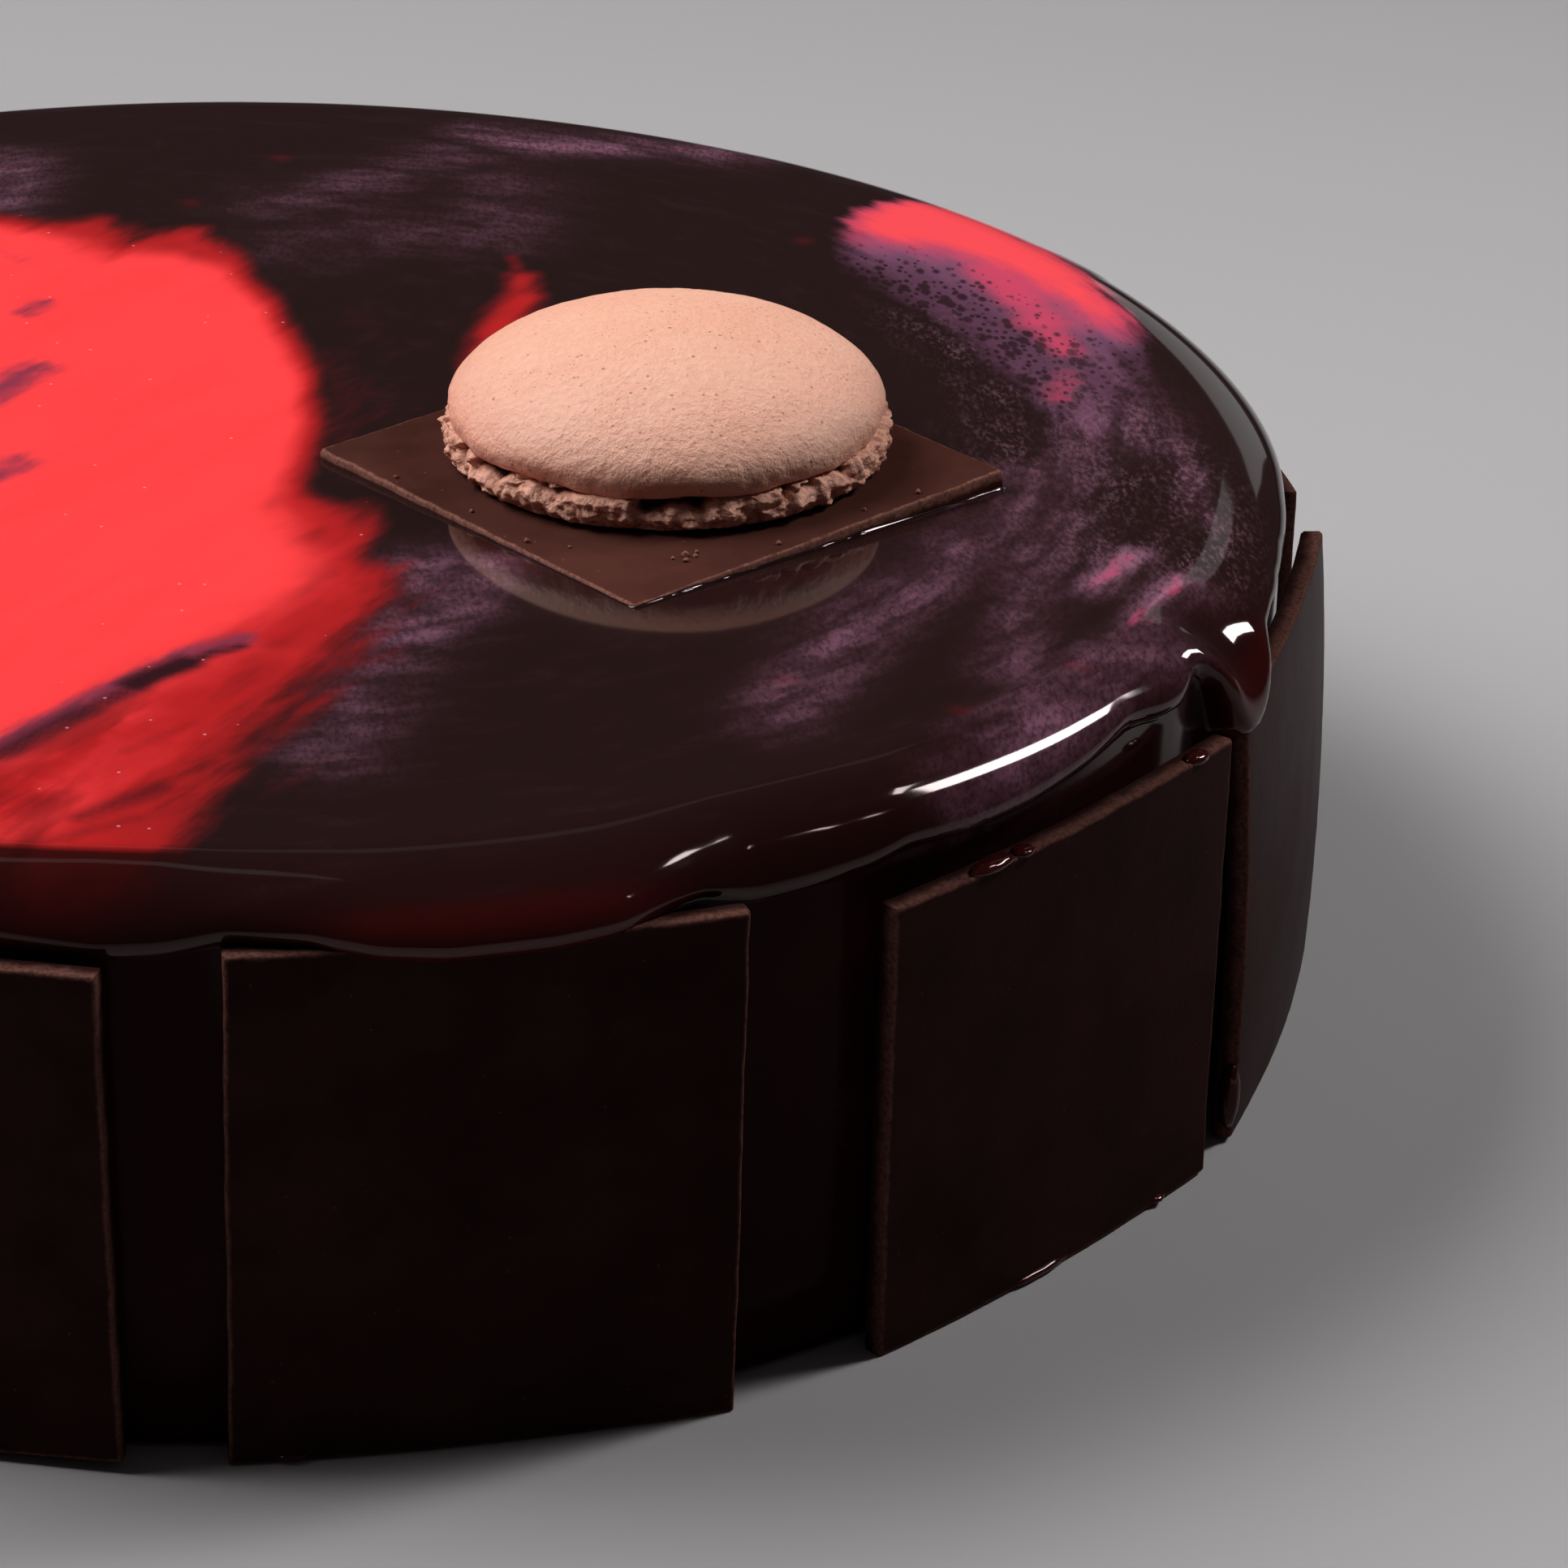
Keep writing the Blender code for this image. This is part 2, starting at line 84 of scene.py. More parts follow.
# The lip where the photograph shows it: azimuth, its height in mm, and how far it swells out in mm
SHOWN_LIP = (
    (-22, 46.5, 0.7), (-16, 46.2, 0.7), (-10.5, 45.5, 0.8), (-6.3, 44.7, 0.9), (-3.4, 45.1, 1.0),
    (-0.7, 46.2, 1.4), (3.0, 45.9, 2.4), (6.0, 44.8, 4.0), (9, 44.3, 4.6), (14, 44.3, 4.6),
    (17.0, 44.6, 4.1), (19.5, 45.4, 2.7), (21.5, 45.6, 1.6), (24.2, 44.5, 1.1), (27.1, 44.5, 1.1),
    (30.7, 44.8, 1.1), (33, 45.6, 1.1),
    (36.7, 45.2, 1.3), (41.2, 45.4, 1.3), (45.5, 46.1, 1.1), (48.0, 46.8, 1.0), (49.6, 47.2, 0.9),
    (51.0, 46.9, 1.1), (52.4, 46.4, 1.4), (54.1, 46.2, 1.5), (55.4, 46.7, 1.2), (56.3, 47.7, 1.2),
    (57.0, 47.4, 1.7), (57.7, 45.2, 2.7), (58.4, 41.4, 3.7), (59.2, 39.6, 4.2), (60.4, 39.9, 4.4),
    (61.6, 42.4, 4.1), (62.7, 45.0, 3.3), (64, 46.2, 2.7), (66, 46.7, 2.4), (68, 46.8, 2.1),
    (70, 46.9, 1.6), (74, 46.9, 1.0), (84, 46.9, 0.7),
)
SHOWN_FADE = 6.0  # degrees over which it passes into the rest
THICK_FROM = 0.7 * MM  # the glaze gets a painted red glow where it swells out this far
THICK_FULL = 3.2 * MM
BELOW_FADE = 1.6 * MM  # height under the lip over which the glaze turns duller
HIDDEN_RUN_DROP = (0.6 * MM, 3.4 * MM)
HIDDEN_RUN_SWELL = (0.3 * MM, 1.4 * MM)
HIDDEN_RUN_HALF_WIDTH = (2.8, 4.6)
RUN_SEED = 11
Run = namedtuple("Run", "azimuth half_width drop swell")
SHOWN_PLAQUES = 5  # plaques 1 to 5 show, and a run hangs between each two after them

# Marbling, seen from above, in mm. The third number of a red point is how far its wisps reach.
RED_OUTLINE = (
    (-99, 50, 3), (-60, 64, 2), (-30, 60, 2), (-23.3, 56.6, 2), (-17, 53.5, 3), (-12.9, 53.9, 4),
    (-10.7, 48.5, 4), (-7.4, 49.6, 4), (-3.7, 51.2, 4), (-1.5, 47.0, 3), (1.6, 42.5, 2),
    (3.4, 36.4, 1.2), (5.5, 27, 1), (7.3, 15.6, 0.8), (8.4, 5.8, 0.8), (8.5, -2.7, 0.8),
    (7.8, -10.9, 0.8), (6.4, -18.0, 1), (7.2, -21.0, 1.5), (10.2, -23.6, 3), (11.3, -29.5, 4),
    (11.4, -35.0, 5), (15.1, -38.9, 6), (14.2, -43.4, 6), (11.4, -48.0, 6), (9.0, -54, 7),
    (6.8, -58, 7), (5.0, -64, 7), (2.0, -71.7, 7), (-1.2, -81, 7), (-4.6, -88.4, 6),
    (-7.7, -95, 5), (-12, -101, 4), (-24, -103, 3), (-45, -97, 3), (-70, -75, 3), (-93, -44, 3),
    (-99, -10, 3),
)
CRESCENT_OUTLINE = (
    (62.8, 50.0), (64.7, 55.0), (68.3, 59.6), (72.9, 60.8), (77.6, 59.4), (82.0, 53.8), (85.9, 45.0),
    (88.6, 36.1), (90.2, 26.5), (90.4, 18), (89.0, 8), (86.0, -2.5), (82.0, -9.5), (78.4, -8.0),
    (76.0, 0.5), (73.4, 11), (71.2, 18.5), (68.4, 25.5), (65.2, 32.5), (62.6, 41.4),
)
CORAL_OUTLINE = (
    (63.6, 50.2), (65.5, 56.0), (69.0, 60.4), (72.9, 61.6), (77.9, 60.0), (82.6, 54.2), (86.6, 45.1),
    (89.2, 36.3), (90.4, 26.5), (88.5, 20.0), (85.5, 22.5), (83.0, 28.5), (80.0, 35.0),
    (76.3, 40.5), (72.1, 44.5), (67.4, 46.5),
)
# Strokes: each one's points, its half width in mm and its strength
PURPLE_STROKES = (
    (((-28, -80.5), (-19, -73.6), (-12.0, -65.2), (-4.0, -56.2), (0.6, -53.0)), 2.1, 0.85),
    (((-37, -40), (-26, -22), (-19.5, -12)), 2.8, 0.75),
    (((-34, -14), (-24, 2), (-18.5, 12)), 3.2, 0.8),
    (((-42, 4), (-30, 22)), 2.2, 0.6),
    (((-19.9, 27.5), (-18.2, 30)), 1.8, 0.8),
    (((-23, 46), (-20, 42)), 2.4, 0.4),
    (((-24, 63), (-23.8, 69.6)), 3.2, 0.7),
    (((-66, -34), (-56, -18), (-48, -8)), 3.0, 0.8),
    (((-76, 2), (-64, 22), (-56, 32)), 3.4, 0.7),
    (((-54, -58), (-42, -42)), 2.4, 0.6),
)
DARK_STROKES = (
    (((-28, -83), (-19, -75.6), (-14.6, -70.4), (-12.0, -67.1)), 2.2, 0.78),
    (((-12.0, -67.1), (-8.3, -62.6)), 1.5, 0.8),
    (((-8.3, -62.2), (-6.7, -60.2), (-4.0, -57.9)), 2.0, 1.0),
    (((-4.0, -57.9), (-1.8, -55.9), (0.6, -54.6)), 1.2, 0.75),
    (((-12.4, -87.5), (-6, -82.5)), 1.8, 0.6),
    (((-15, -92), (-8, -88)), 1.6, 0.5),
    (((-9.0, -75.5), (-3.5, -70.0)), 1.3, 0.4),
    (((-70, -38), (-58, -20), (-50, -10)), 1.6, 0.8),
    (((-62, 4), (-50, 24)), 1.3, 0.6),
)
DEEP_STROKES = (
    (((-26, -90), (-14, -80), (-6, -70), (1, -61)), 6.5, 1.0),
    (((-18, -98), (-5, -88), (0, -76)), 8.0, 1.0),
    (((4, -53), (9, -45), (12, -38)), 4.0, 0.9),
    (((7, -23), (9, -30)), 3.5, 0.9),
    (((-14, 52), (-6, 48), (0, 44)), 3.5, 0.7),
    (((-78, -52), (-60, -66), (-40, -88)), 9.0, 0.8),
    (((-60, -36), (-46, -14), (-40, -4)), 6.0, 0.55),
    (((-92, -20), (-84, 14), (-70, 40)), 8.0, 0.7),
    (((-66, 40), (-50, 54), (-34, 56)), 5.0, 0.6),
)
MAUVE_STROKES = (
    (((16.6, -38.1), (19.1, -45.4), (14.5, -52)), 3.6, 0.65),
    (((22.3, -38.2), (18.5, -48)), 3.2, 0.55),
    (((13.2, -55.6), (10.1, -68.8), (7.2, -76.6)), 4.2, 0.32),
    (((27.4, 82.5), (32.6, 79.7), (36.9, 78.2), (45.7, 77.6), (51.8, 76.7), (56.9, 75.3)),
     3.4, 0.62),
    (((5, 60), (12, 65), (19, 70), (24.5, 75.7)), 5.0, 0.22),
    (((29, 65), (26.7, 49.5), (16.7, 52), (8.3, 47.3)), 6.0, 0.2),
    (((83, 14), (85, 2), (85, -10)), 4.0, 0.42),
    (((87.5, -4), (89, -18), (88.5, -30)), 1.6, 0.30),
    (((79.8, -37.6), (78.0, -40.6), (75.6, -44.4)), 2.1, 1.0),
    (((84.0, -42.8), (81.2, -46.8), (78.3, -51.8)), 1.7, 0.95),
    (((78.3, -51.8), (74.6, -58.8), (69.7, -67.0)), 1.6, 0.62),
    (((80.3, -56.1), (75.8, -57.7), (71.9, -64.4), (66.8, -70.8), (60.1, -80.2)), 3.4, 0.5),
    (((74.4, -18.7), (70, -28.4), (64.5, -35.8), (61.7, -41.3), (52.2, -55.2), (45.1, -70)),
     3.8, 0.42),
    (((75.6, -20.7), (79.8, -12.8), (83, 0)), 3.0, 0.5),
    (((75.2, -28.5), (71.3, -39.8), (68.3, -50.5), (66, -62)), 3.2, 0.36),
    (((-23.8, 72), (-25, 62), (-40, 70), (-60, 60)), 5.0, 0.6),
    (((-20, -99), (-30, -98), (-50, -92)), 4.0, 0.5),
    (((-88, 30), (-80, 46), (-66, 58)), 4.5, 0.5),
    (((-84, -38), (-74, -58), (-60, -74)), 4.0, 0.45),
)
EMBER_STROKES = (
    (((24.5, 12.0), (26.2, 22.0), (29.4, 31.0)), 2.5, 0.95),
    (((29.4, 31.0), (29.6, 37.0)), 2.1, 0.8),
    (((29.6, 37.0), (28.9, 43.0)), 1.1, 0.48),
    (((8, 14), (12, 4), (10, -6)), 5.0, 0.24),
    (((12, 28), (16, 16)), 4.0, 0.15),
)
TONGUE_STROKES = (
    (((77.5, 38.0), (79.6, 29.0), (80.8, 23.4)), 3.6, 0.75),
    (((80.8, 23.4), (82.0, 14.4)), 2.6, 0.6),
    (((81.3, 8.4), (79.6, 2.3)), 2.4, 0.45),
)
SPECKLE_STROKES = (
    (((83, 6), (85.4, -7.6), (88.3, -14), (89.2, -22), (88.3, -31), (85, -40)), 3.4, 0.9),
    (((80, 2), (81, -14), (80, -28), (78, -38)), 4.5, 0.6),
    (((69, 24), (72, 12), (74, 0), (73, -12)), 4.0, 0.55),
)
SPOTS = ((-3.7, 60.1), (5.8, 74.5), (59.3, 47.2), (60.4, -69.8), (71.7, -61.0), (46.3, -63.2))
SPOT_SIZE = 0.9
FIELD_REACH = 20.0  # mm: outlines are felt no further than this
FLOW_TURN = 57.0  # degrees: the way the red was dragged with the palette knife
MARBLING = {
    "purple": PURPLE_STROKES, "deep": DEEP_STROKES, "dark": DARK_STROKES, "mauve": MAUVE_STROKES,
    "ember": EMBER_STROKES, "tongue": TONGUE_STROKES, "speckle": SPECKLE_STROKES,
    "spot": tuple((((x, y), (x + 0.1, y)), SPOT_SIZE, 1.0) for x, y in SPOTS),
}

# Meniscus of glaze round the tile
MENISCUS_HIGH = (0.36 * MM, 0.30 * MM, 0.30 * MM, 0.07 * MM)  # from the tile's front right on
MENISCUS_UNEVEN = (0.75, 0.6, 0.6, 1.0)
MENISCUS_WIDE = 0.95 * MM
MENISCUS_SUNK = 0.02 * MM
MENISCUS_ROWS = 7
MENISCUS_STEPS = 90  # points a side

# Plaques and tile
PLAQUE_THICK = 2.1 * MM
CAD_EDGE = 0.25 * MM  # the bevel of the CAD plaques
EDGE_ROUND = 0.28 * MM
SLAB_CELLS = 40
BACK_EDGE = 0.5  # mm: a slab's back edge is as dark as this far in from the front
FIT_SPAN = 22.0 * MM
FIT_DAMPING = 0.02
PLAQUE_WOBBLE = 0.10 * MM
PLAQUE_SWELL = 0.07 * MM
TILE_CAD_EDGE = 0.2 * MM
TILE_THICK = 1.95 * MM
TILE_WOBBLE = 0.13 * MM

# Macaron shell, in the tile's own frame
SHELL_STEPS = 480
DOME_R = 20.15 * MM
DOME_WIDEST = 4.5 * MM
DOME_TOP = 12.4 * MM
DOME_POWER = 1.75  # 2 is an ellipse, less is more pointed on top
DOME_ROWS = 60
DOME_LOW = 3.0 * MM  # underside of the dome's rim
RIM_ROWS = 8
RIM_TURNED_IN = 0.55 * MM  # how far the dome's rim turns in under itself
FOOT_ROUND = 0.5 * MM
GROOVE_R = 19.5 * MM
GROOVE_Z = 2.9 * MM
FOOT_R = 20.75 * MM
FOOT_HEIGHT = 2.75 * MM
FOOT_ROWS = 26
FOOT_CRAG = 0.50 * MM
PIT_DEPTH = 2.6 * MM

# Drops of glaze on the edges of plaques: plaque number, shares across and up it, half sizes
Drop = namedtuple("Drop", "plaque across up half_across half_up")
DROPS = (
    Drop(3, 0.26, 1.0, 2.7 * MM, 0.55 * MM),
    Drop(3, 0.345, 1.0, 1.2 * MM, 0.45 * MM),
    Drop(3, 0.885, 1.0, 1.5 * MM, 0.60 * MM),
    Drop(4, 0.0, 0.10, 0.9 * MM, 3.3 * MM),
    Drop(2, 0.12, 0.01, 1.5 * MM, 0.40 * MM),
    Drop(3, 0.45, 0.01, 4.2 * MM, 0.45 * MM),
    Drop(3, 0.83, 0.01, 1.2 * MM, 0.40 * MM),
    Drop(7, 0.70, 1.0, 2.0 * MM, 0.50 * MM),
    Drop(9, 0.25, 1.0, 1.4 * MM, 0.50 * MM),
    Drop(11, 1.0, 0.12, 0.8 * MM, 2.4 * MM),
)
DROP_HALF_DEPTH = 0.95 * MM
DROP_SUNK = 0.55 * MM  # how far a drop's middle lies behind the plaque's face
DROP_ROWS = 15
DROP_STEPS = 28

# Chocolate crumbs on the tile: place in the tile's own plane, in mm, and half size in mm
TILE_CRUMBS = (
    (-12.9, -18.3, 0.24), (-12.2, -17.4, 0.32), (-11.6, -18.1, 0.20), (-13.4, -17.2, 0.18),
    (-10.9, -17.5, 0.16), (-20.9, -6.0, 0.26), (-20.6, 2.2, 0.20), (-18.8, -9.4, 0.16),
    (-21.1, 12.5, 0.22), (-4.2, -20.9, 0.24), (6.5, -20.6, 0.18), (12.8, -21.0, 0.26),
    (20.7, -8.8, 0.22), (19.4, 13.5, 0.20), (2.2, 20.8, 0.24),
)
CRUMB_PROUD = 0.35  # how far above the tile's face a crumb's middle lies, in half sizes
CRUMB_ROWS = 9
CRUMB_STEPS = 14

UP = np.array([0.0, 0.0, 1.0])

# Colours, linear
GLAZE_BLACK = (0.015, 0.0052, 0.005)
GLAZE_TINT = (1.0, 0.8, 0.78)
# Painted red glow of light through thick glaze.
THICK_GLOW_RED = (0.04, 0.0034, 0.003)
# Painted dark red glow over the shoulder and lip; the red also sinks into it there.
LIP_GLOW_RED = (0.016, 0.003, 0.0026)
RED_BRIGHT = (1.0, 0.054, 0.058)
RED_DEEP = (0.44, 0.013, 0.014)
RED_EDGE = (0.13, 0.007, 0.008)
SPARK = (0.9, 0.35, 0.38)
STREAK_DARK = (0.03, 0.006, 0.009)
PURPLE = (0.17, 0.03, 0.062)
MAUVE = (0.24, 0.1, 0.155)
MAUVE_GREY = (0.17, 0.085, 0.115)
MAUVE_BRIGHT = (0.55, 0.065, 0.16)
CRESCENT_MAUVE = (0.2, 0.075, 0.145)
CRESCENT_PINK = (0.62, 0.055, 0.115)
CORAL = (0.9, 0.07, 0.085)
CHOCOLATE_FACE = (0.026, 0.0098, 0.0085)
CHOCOLATE_EDGE = (0.13, 0.054, 0.042)
TILE_FACE = (0.074, 0.025, 0.019)
TILE_EDGE = (0.3, 0.13, 0.1)
SHELL_PALE = (0.93, 0.5, 0.36)
SHELL_ROSY = (0.9, 0.45, 0.32)
# Painted shade in the dome's wrinkles.
SHELL_SHADE = (0.66, 0.28, 0.18)
SHELL_SPECK = (0.25, 0.09, 0.04)
FOOT_PALE = (0.88, 0.44, 0.31)
# The foot's dark crumb tone, also used for painted shade in its hollows; next, the black of the painted
# shade deepest in them.
FOOT_DARK_CRUMB_AND_SHADE = (0.42, 0.155, 0.1)
HOLLOW_SHADE_BLACK = (0.02, 0.007, 0.005)
CRUMB = (0.06, 0.026, 0.016)
FLOOR = (0.4, 0.385, 0.39)
WORLD = (0.036, 0.031, 0.033)
LIGHT_TARGET = (0.03, 0.0, 0.05)
FLOOR_HALF = 9.0

# Camera
CAMERA_PLACE = (0.0, -467.155 * MM, 233.967 * MM)
CAMERA_YAW = 6.559
CAMERA_PITCH = 25.284
CAMERA_ROLL = 1.874
LENS_MM = 121.13
SENSOR_MM = 36.0


def smooth(value, low, high):
    """Smooth step from 0 at low to 1 at high, for numbers and arrays."""
    share = np.clip((value - low) / (high - low), 0.0, 1.0)
    return share * share * (3.0 - 2.0 * share)


def bell(distance, half_width):
    return 1.0 - smooth(np.abs(distance), 0.35 * half_width, half_width)


def azimuth_gap(first, second):
    return (first - second + 180.0) % 360.0 - 180.0


def fractal(points, scale, octaves=3, shift=0.0):
    """Fractal noise of mathutils at each point, about -1 to 1."""
    offset = Vector((shift, 2.0 * shift, -shift))
    return np.array([noise.fractal(Vector(p) * scale + offset, 0.8, 2.0, octaves) for p in points])


# Meshes

def add_object(name, mesh, material):
    item = bpy.data.objects.new(name, mesh)
    mesh.materials.append(material)
    bpy.context.scene.collection.objects.link(item)
    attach(item, "root")
    return item


def grid_faces(rows, columns, wrap):
    """Quads between rows of points, wrapping round to the first column where asked."""
    last = columns if wrap else columns - 1
    faces = []
    for row in range(rows - 1):
        for column in range(last):
            after = (column + 1) % columns
            low = row * columns
            faces.append((low + column, low + columns + column, low + columns + after, low + after))
    return faces


def make_mesh(name, points, faces, weld=0.002 * MM):
    """Smooth-shaded mesh whose coinciding points are merged."""
    mesh = bpy.data.meshes.new(name)
    mesh.from_pydata([tuple(p) for p in points], [], faces)
    work = bmesh.new()
    work.from_mesh(mesh)
    bmesh.ops.remove_doubles(work, verts=work.verts, dist=weld)
    bmesh.ops.recalc_face_normals(work, faces=work.faces)
    work.to_mesh(mesh)
    work.free()
    mesh.shade_smooth()
    return mesh


def mesh_points(mesh):
    points = np.zeros(len(mesh.vertices) * 3)
    mesh.vertices.foreach_get("co", points)
    return points.reshape(-1, 3)


def add_values(mesh, name, values):
    layer = mesh.attributes.new(name, "FLOAT", "POINT")
    layer.data.foreach_set("value", np.asarray(values, dtype=np.float32))


# Glaze

def plaque_azimuth(node):
    points = mesh_points(node.data)
    middle = (points.max(axis=0) + points.min(axis=0)) / 2.0
    return math.degrees(math.atan2(middle[0], -middle[1])) % 360.0


def glaze_runs(plaques):
    """One run of glaze drawn at random in each gap between hidden plaques."""
    draw = random.Random(RUN_SEED)
    azimuths = [plaque_azimuth(node) for node in plaques]
    runs = []
    first_hidden = SHOWN_PLAQUES - 1
    for left, right in zip(azimuths[first_hidden:], azimuths[first_hidden + 1:] + azimuths[:1]):
        middle = left + azimuth_gap(right, left) / 2.0
        half_width = draw.uniform(*HIDDEN_RUN_HALF_WIDTH)
        drop = draw.uniform(*HIDDEN_RUN_DROP)
        runs.append(Run(middle, half_width, drop, draw.uniform(*HIDDEN_RUN_SWELL)))
    return runs


def waves(azimuth, table):
    angle = np.radians(azimuth)
    return sum(height * np.sin(count * angle + phase) for count, phase, height in table)


def side_radius(z):
    """Radius of the plain glaze, before its bead, at a height."""
    above = np.maximum(z - (GLAZE_TOP - SHOULDER_R), 0.0)
    return GLAZE_R - SHOULDER_R + np.sqrt(np.maximum(SHOULDER_R ** 2 - above ** 2, 0.0))


def melted(values):
    """Values round the cake, smoothed as liquid glaze would level them."""
    step = 360.0 / GLAZE_STEPS
    reach = int(4.0 * FLOW_SPREAD / step)
    shares = np.exp(-0.5 * (np.arange(-reach, reach + 1) * step / FLOW_SPREAD) ** 2)
    shares /= shares.sum()
    return sum(share * np.roll(values, shift - reach) for shift, share in enumerate(shares))


def lip_course(azimuth, runs):
    """How far the lip hangs down and swells out at each azimuth: as it shows, or waves and runs."""
    drop = waves(azimuth, LIP_WAVES)
    swell = BEAD_SWELL + waves(azimuth, BEAD_WAVES)
    for run in runs:
        near = bell(azimuth_gap(azimuth, run.azimuth), run.half_width)
        drop = drop + run.drop * near
        swell = swell + run.swell * near
    angles, heights, swells = np.array(SHOWN_LIP).T
    middle = (angles[0] + angles[-1]) / 2.0
    half = angles[-1] - middle
    gap = azimuth_gap(azimuth, middle)
    shown = 1.0 - smooth(np.abs(gap), half - SHOWN_FADE, half)
    drop += (LIP_Z - np.interp(gap, angles - middle, heights * MM) - drop) * shown
    swell += (np.interp(gap, angles - middle, swells * MM) - swell) * shown
    return melted(drop), melted(swell)


def shoulder_rows(lip, full, swell):
    """Rows of radius and height from the top over the shoulder and round under the bead."""
    widest = lip + full
    bulge = side_radius(widest) + swell
    rows = []
    for angle in np.linspace(0.0, math.pi / 2.0, SHOULDER_ROWS):
        out = math.sin(angle) ** (2.0 / SHOULDER_POWER)
        up = max(math.cos(angle), 0.0) ** (2.0 / SHOULDER_POWER)
        rows.append((SHOULDER_START + (bulge - SHOULDER_START) * out, widest + (GLAZE_TOP - widest) * up))
    plain = side_radius(lip)
    for angle in np.linspace(0.0, math.pi / 2.0, LIP_ROWS)[1:]:
        rows.append((plain + (bulge - plain) * math.cos(angle), widest - full * math.sin(angle)))
    return rows


def glaze_points(runs):
    """Rows of points from the middle of the top, over the shoulder to the foot, and back inside."""
    azimuth = np.linspace(0.0, 360.0, GLAZE_STEPS, endpoint=False)
    drop, swell = lip_course(azimuth, runs)
    lip = LIP_Z - drop
    full = BEAD_FULL + BEAD_FATNESS * np.maximum(swell - BEAD_SWELL, 0.0)
    level = np.full_like(azimuth, GLAZE_TOP)
    shares = np.linspace(0.0, 1.0, TOP_ROWS)[:-1] ** TOP_CROWDING
    rows = [(np.full_like(azimuth, share * SHOULDER_START), level) for share in shares]
    rows += shoulder_rows(lip, full, swell)
    for share in np.linspace(0.0, 1.0, SIDE_ROWS):
        z = (lip - LIP_UNDERCUT) * (1.0 - share) + GLAZE_FOOT * share
        rows.append((side_radius(z), z))
    inner_r = GLAZE_R - GLAZE_SKIN
    inner_top = GLAZE_TOP - 2.0 * GLAZE_SKIN
    arc = SHOULDER_R - GLAZE_SKIN
    wall = ((inner_r, GLAZE_FOOT), (inner_r, inner_top - arc))
    for radius, z in wall + ((inner_r - arc, inner_top), (0.0, inner_top)):
        rows.append((np.full_like(azimuth, radius), np.full_like(azimuth, z)))
    angle = np.radians(azimuth)
    points = [np.stack([r * np.sin(angle), -r * np.cos(angle), z], axis=1) for r, z in rows]
    return np.concatenate(points), len(rows)


def unrolled(points):
    """Places on the top seen from above, in mm, with the shoulder rolled out flat."""
    radius = np.hypot(points[:, 0], points[:, 1])
    flat = GLAZE_R - SHOULDER_R
    over = np.arccos(np.clip((points[:, 2] - GLAZE_TOP + SHOULDER_R) / SHOULDER_R, 0.0, 1.0))
    below = np.maximum(GLAZE_TOP - SHOULDER_R - points[:, 2], 0.0)
    rolled = np.where(radius > flat, flat + over * SHOULDER_R + below, radius)
    share = rolled / np.maximum(radius, 1e-9)
    return points[:, :2] * share[:, None] / MM


def segment_distance(places, start, end):
    """Distance of each place from a segment, and how far along it the nearest point is."""
    start = np.asarray(start, float)
    step = np.asarray(end, float) - start
    along = np.clip((places - start) @ step / (step @ step), 0.0, 1.0)
    return np.linalg.norm(places - start - along[:, None] * step, axis=1), along


def inside_outline(places, outline):
    """True for places inside a closed outline, by counting crossings."""
    inside = np.zeros(len(places), dtype=bool)
    x, y = places[:, 0], places[:, 1]
    for (x1, y1), (x2, y2) in zip(outline, outline[1:] + outline[:1]):
        crosses = (y1 > y) != (y2 > y)
        reach = x1 + (y - y1) * (x2 - x1) / (y2 - y1 if y2 != y1 else 1.0)
        inside ^= crosses & (x < reach)
    return inside


def outline_distance(places, outline):
    """Signed distance, positive inside, and the third number of the nearest outline point."""
    flat = [tuple(point[:2]) for point in outline]
    best = np.full(len(places), np.inf)
    extra = np.zeros(len(places))
    for index, start in enumerate(outline):
        end = outline[(index + 1) % len(outline)]
        distance, along = segment_distance(places, start[:2], end[:2])
        nearer = distance < best
        best = np.where(nearer, distance, best)
        if len(start) > 2:
            extra = np.where(nearer, start[2] + (end[2] - start[2]) * along, extra)
    return np.where(inside_outline(places, flat), best, -best), extra


def stroke_amount(places, strokes):
    """How much of the strokes lies on each place, 0 to 1, fading out across their width."""
    amount = np.zeros(len(places))
    for line, width, strength in strokes:
        distance = np.full(len(places), np.inf)
        for start, end in zip(line, line[1:]):
            distance = np.minimum(distance, segment_distance(places, start, end)[0])
        amount = np.maximum(amount, strength * np.exp(-(distance / width) ** 2))
    return amount


def add_marbling(mesh):
    """Smooth fields that the glaze's material turns into marbling."""
    points = mesh_points(mesh)
    places = unrolled(points)
    red, wisp = outline_distance(places, RED_OUTLINE)
    crescent, coral = (outline_distance(places, line)[0] for line in (CRESCENT_OUTLINE, CORAL_OUTLINE))
    for name, field in (("red", red), ("crescent", crescent), ("coral", coral)):
        add_values(mesh, name, np.clip(field, -FIELD_REACH, FIELD_REACH))
    add_values(mesh, "wisp", wisp)
    for name, strokes in MARBLING.items():
        add_values(mesh, name, stroke_amount(places, strokes))
    radius = np.hypot(points[:, 0], points[:, 1])
    # How thick the glaze is, for its painted red glow.
    add_values(mesh, "thick", smooth(radius, GLAZE_R + THICK_FROM, GLAZE_R + THICK_FULL))
    on_side = radius < GLAZE_R + 0.1 * MM
    add_values(mesh, "below", smooth(LIP_Z - points[:, 2], 0.0, BELOW_FADE) * on_side)
    edge = np.linalg.norm(places, axis=1) * MM
    # Where the painted dark red glow of the shoulder and lip comes in.
    add_values(mesh, "lip", smooth(edge, GLAZE_R - SHOULDER_R, LIP_GLOW_TO))


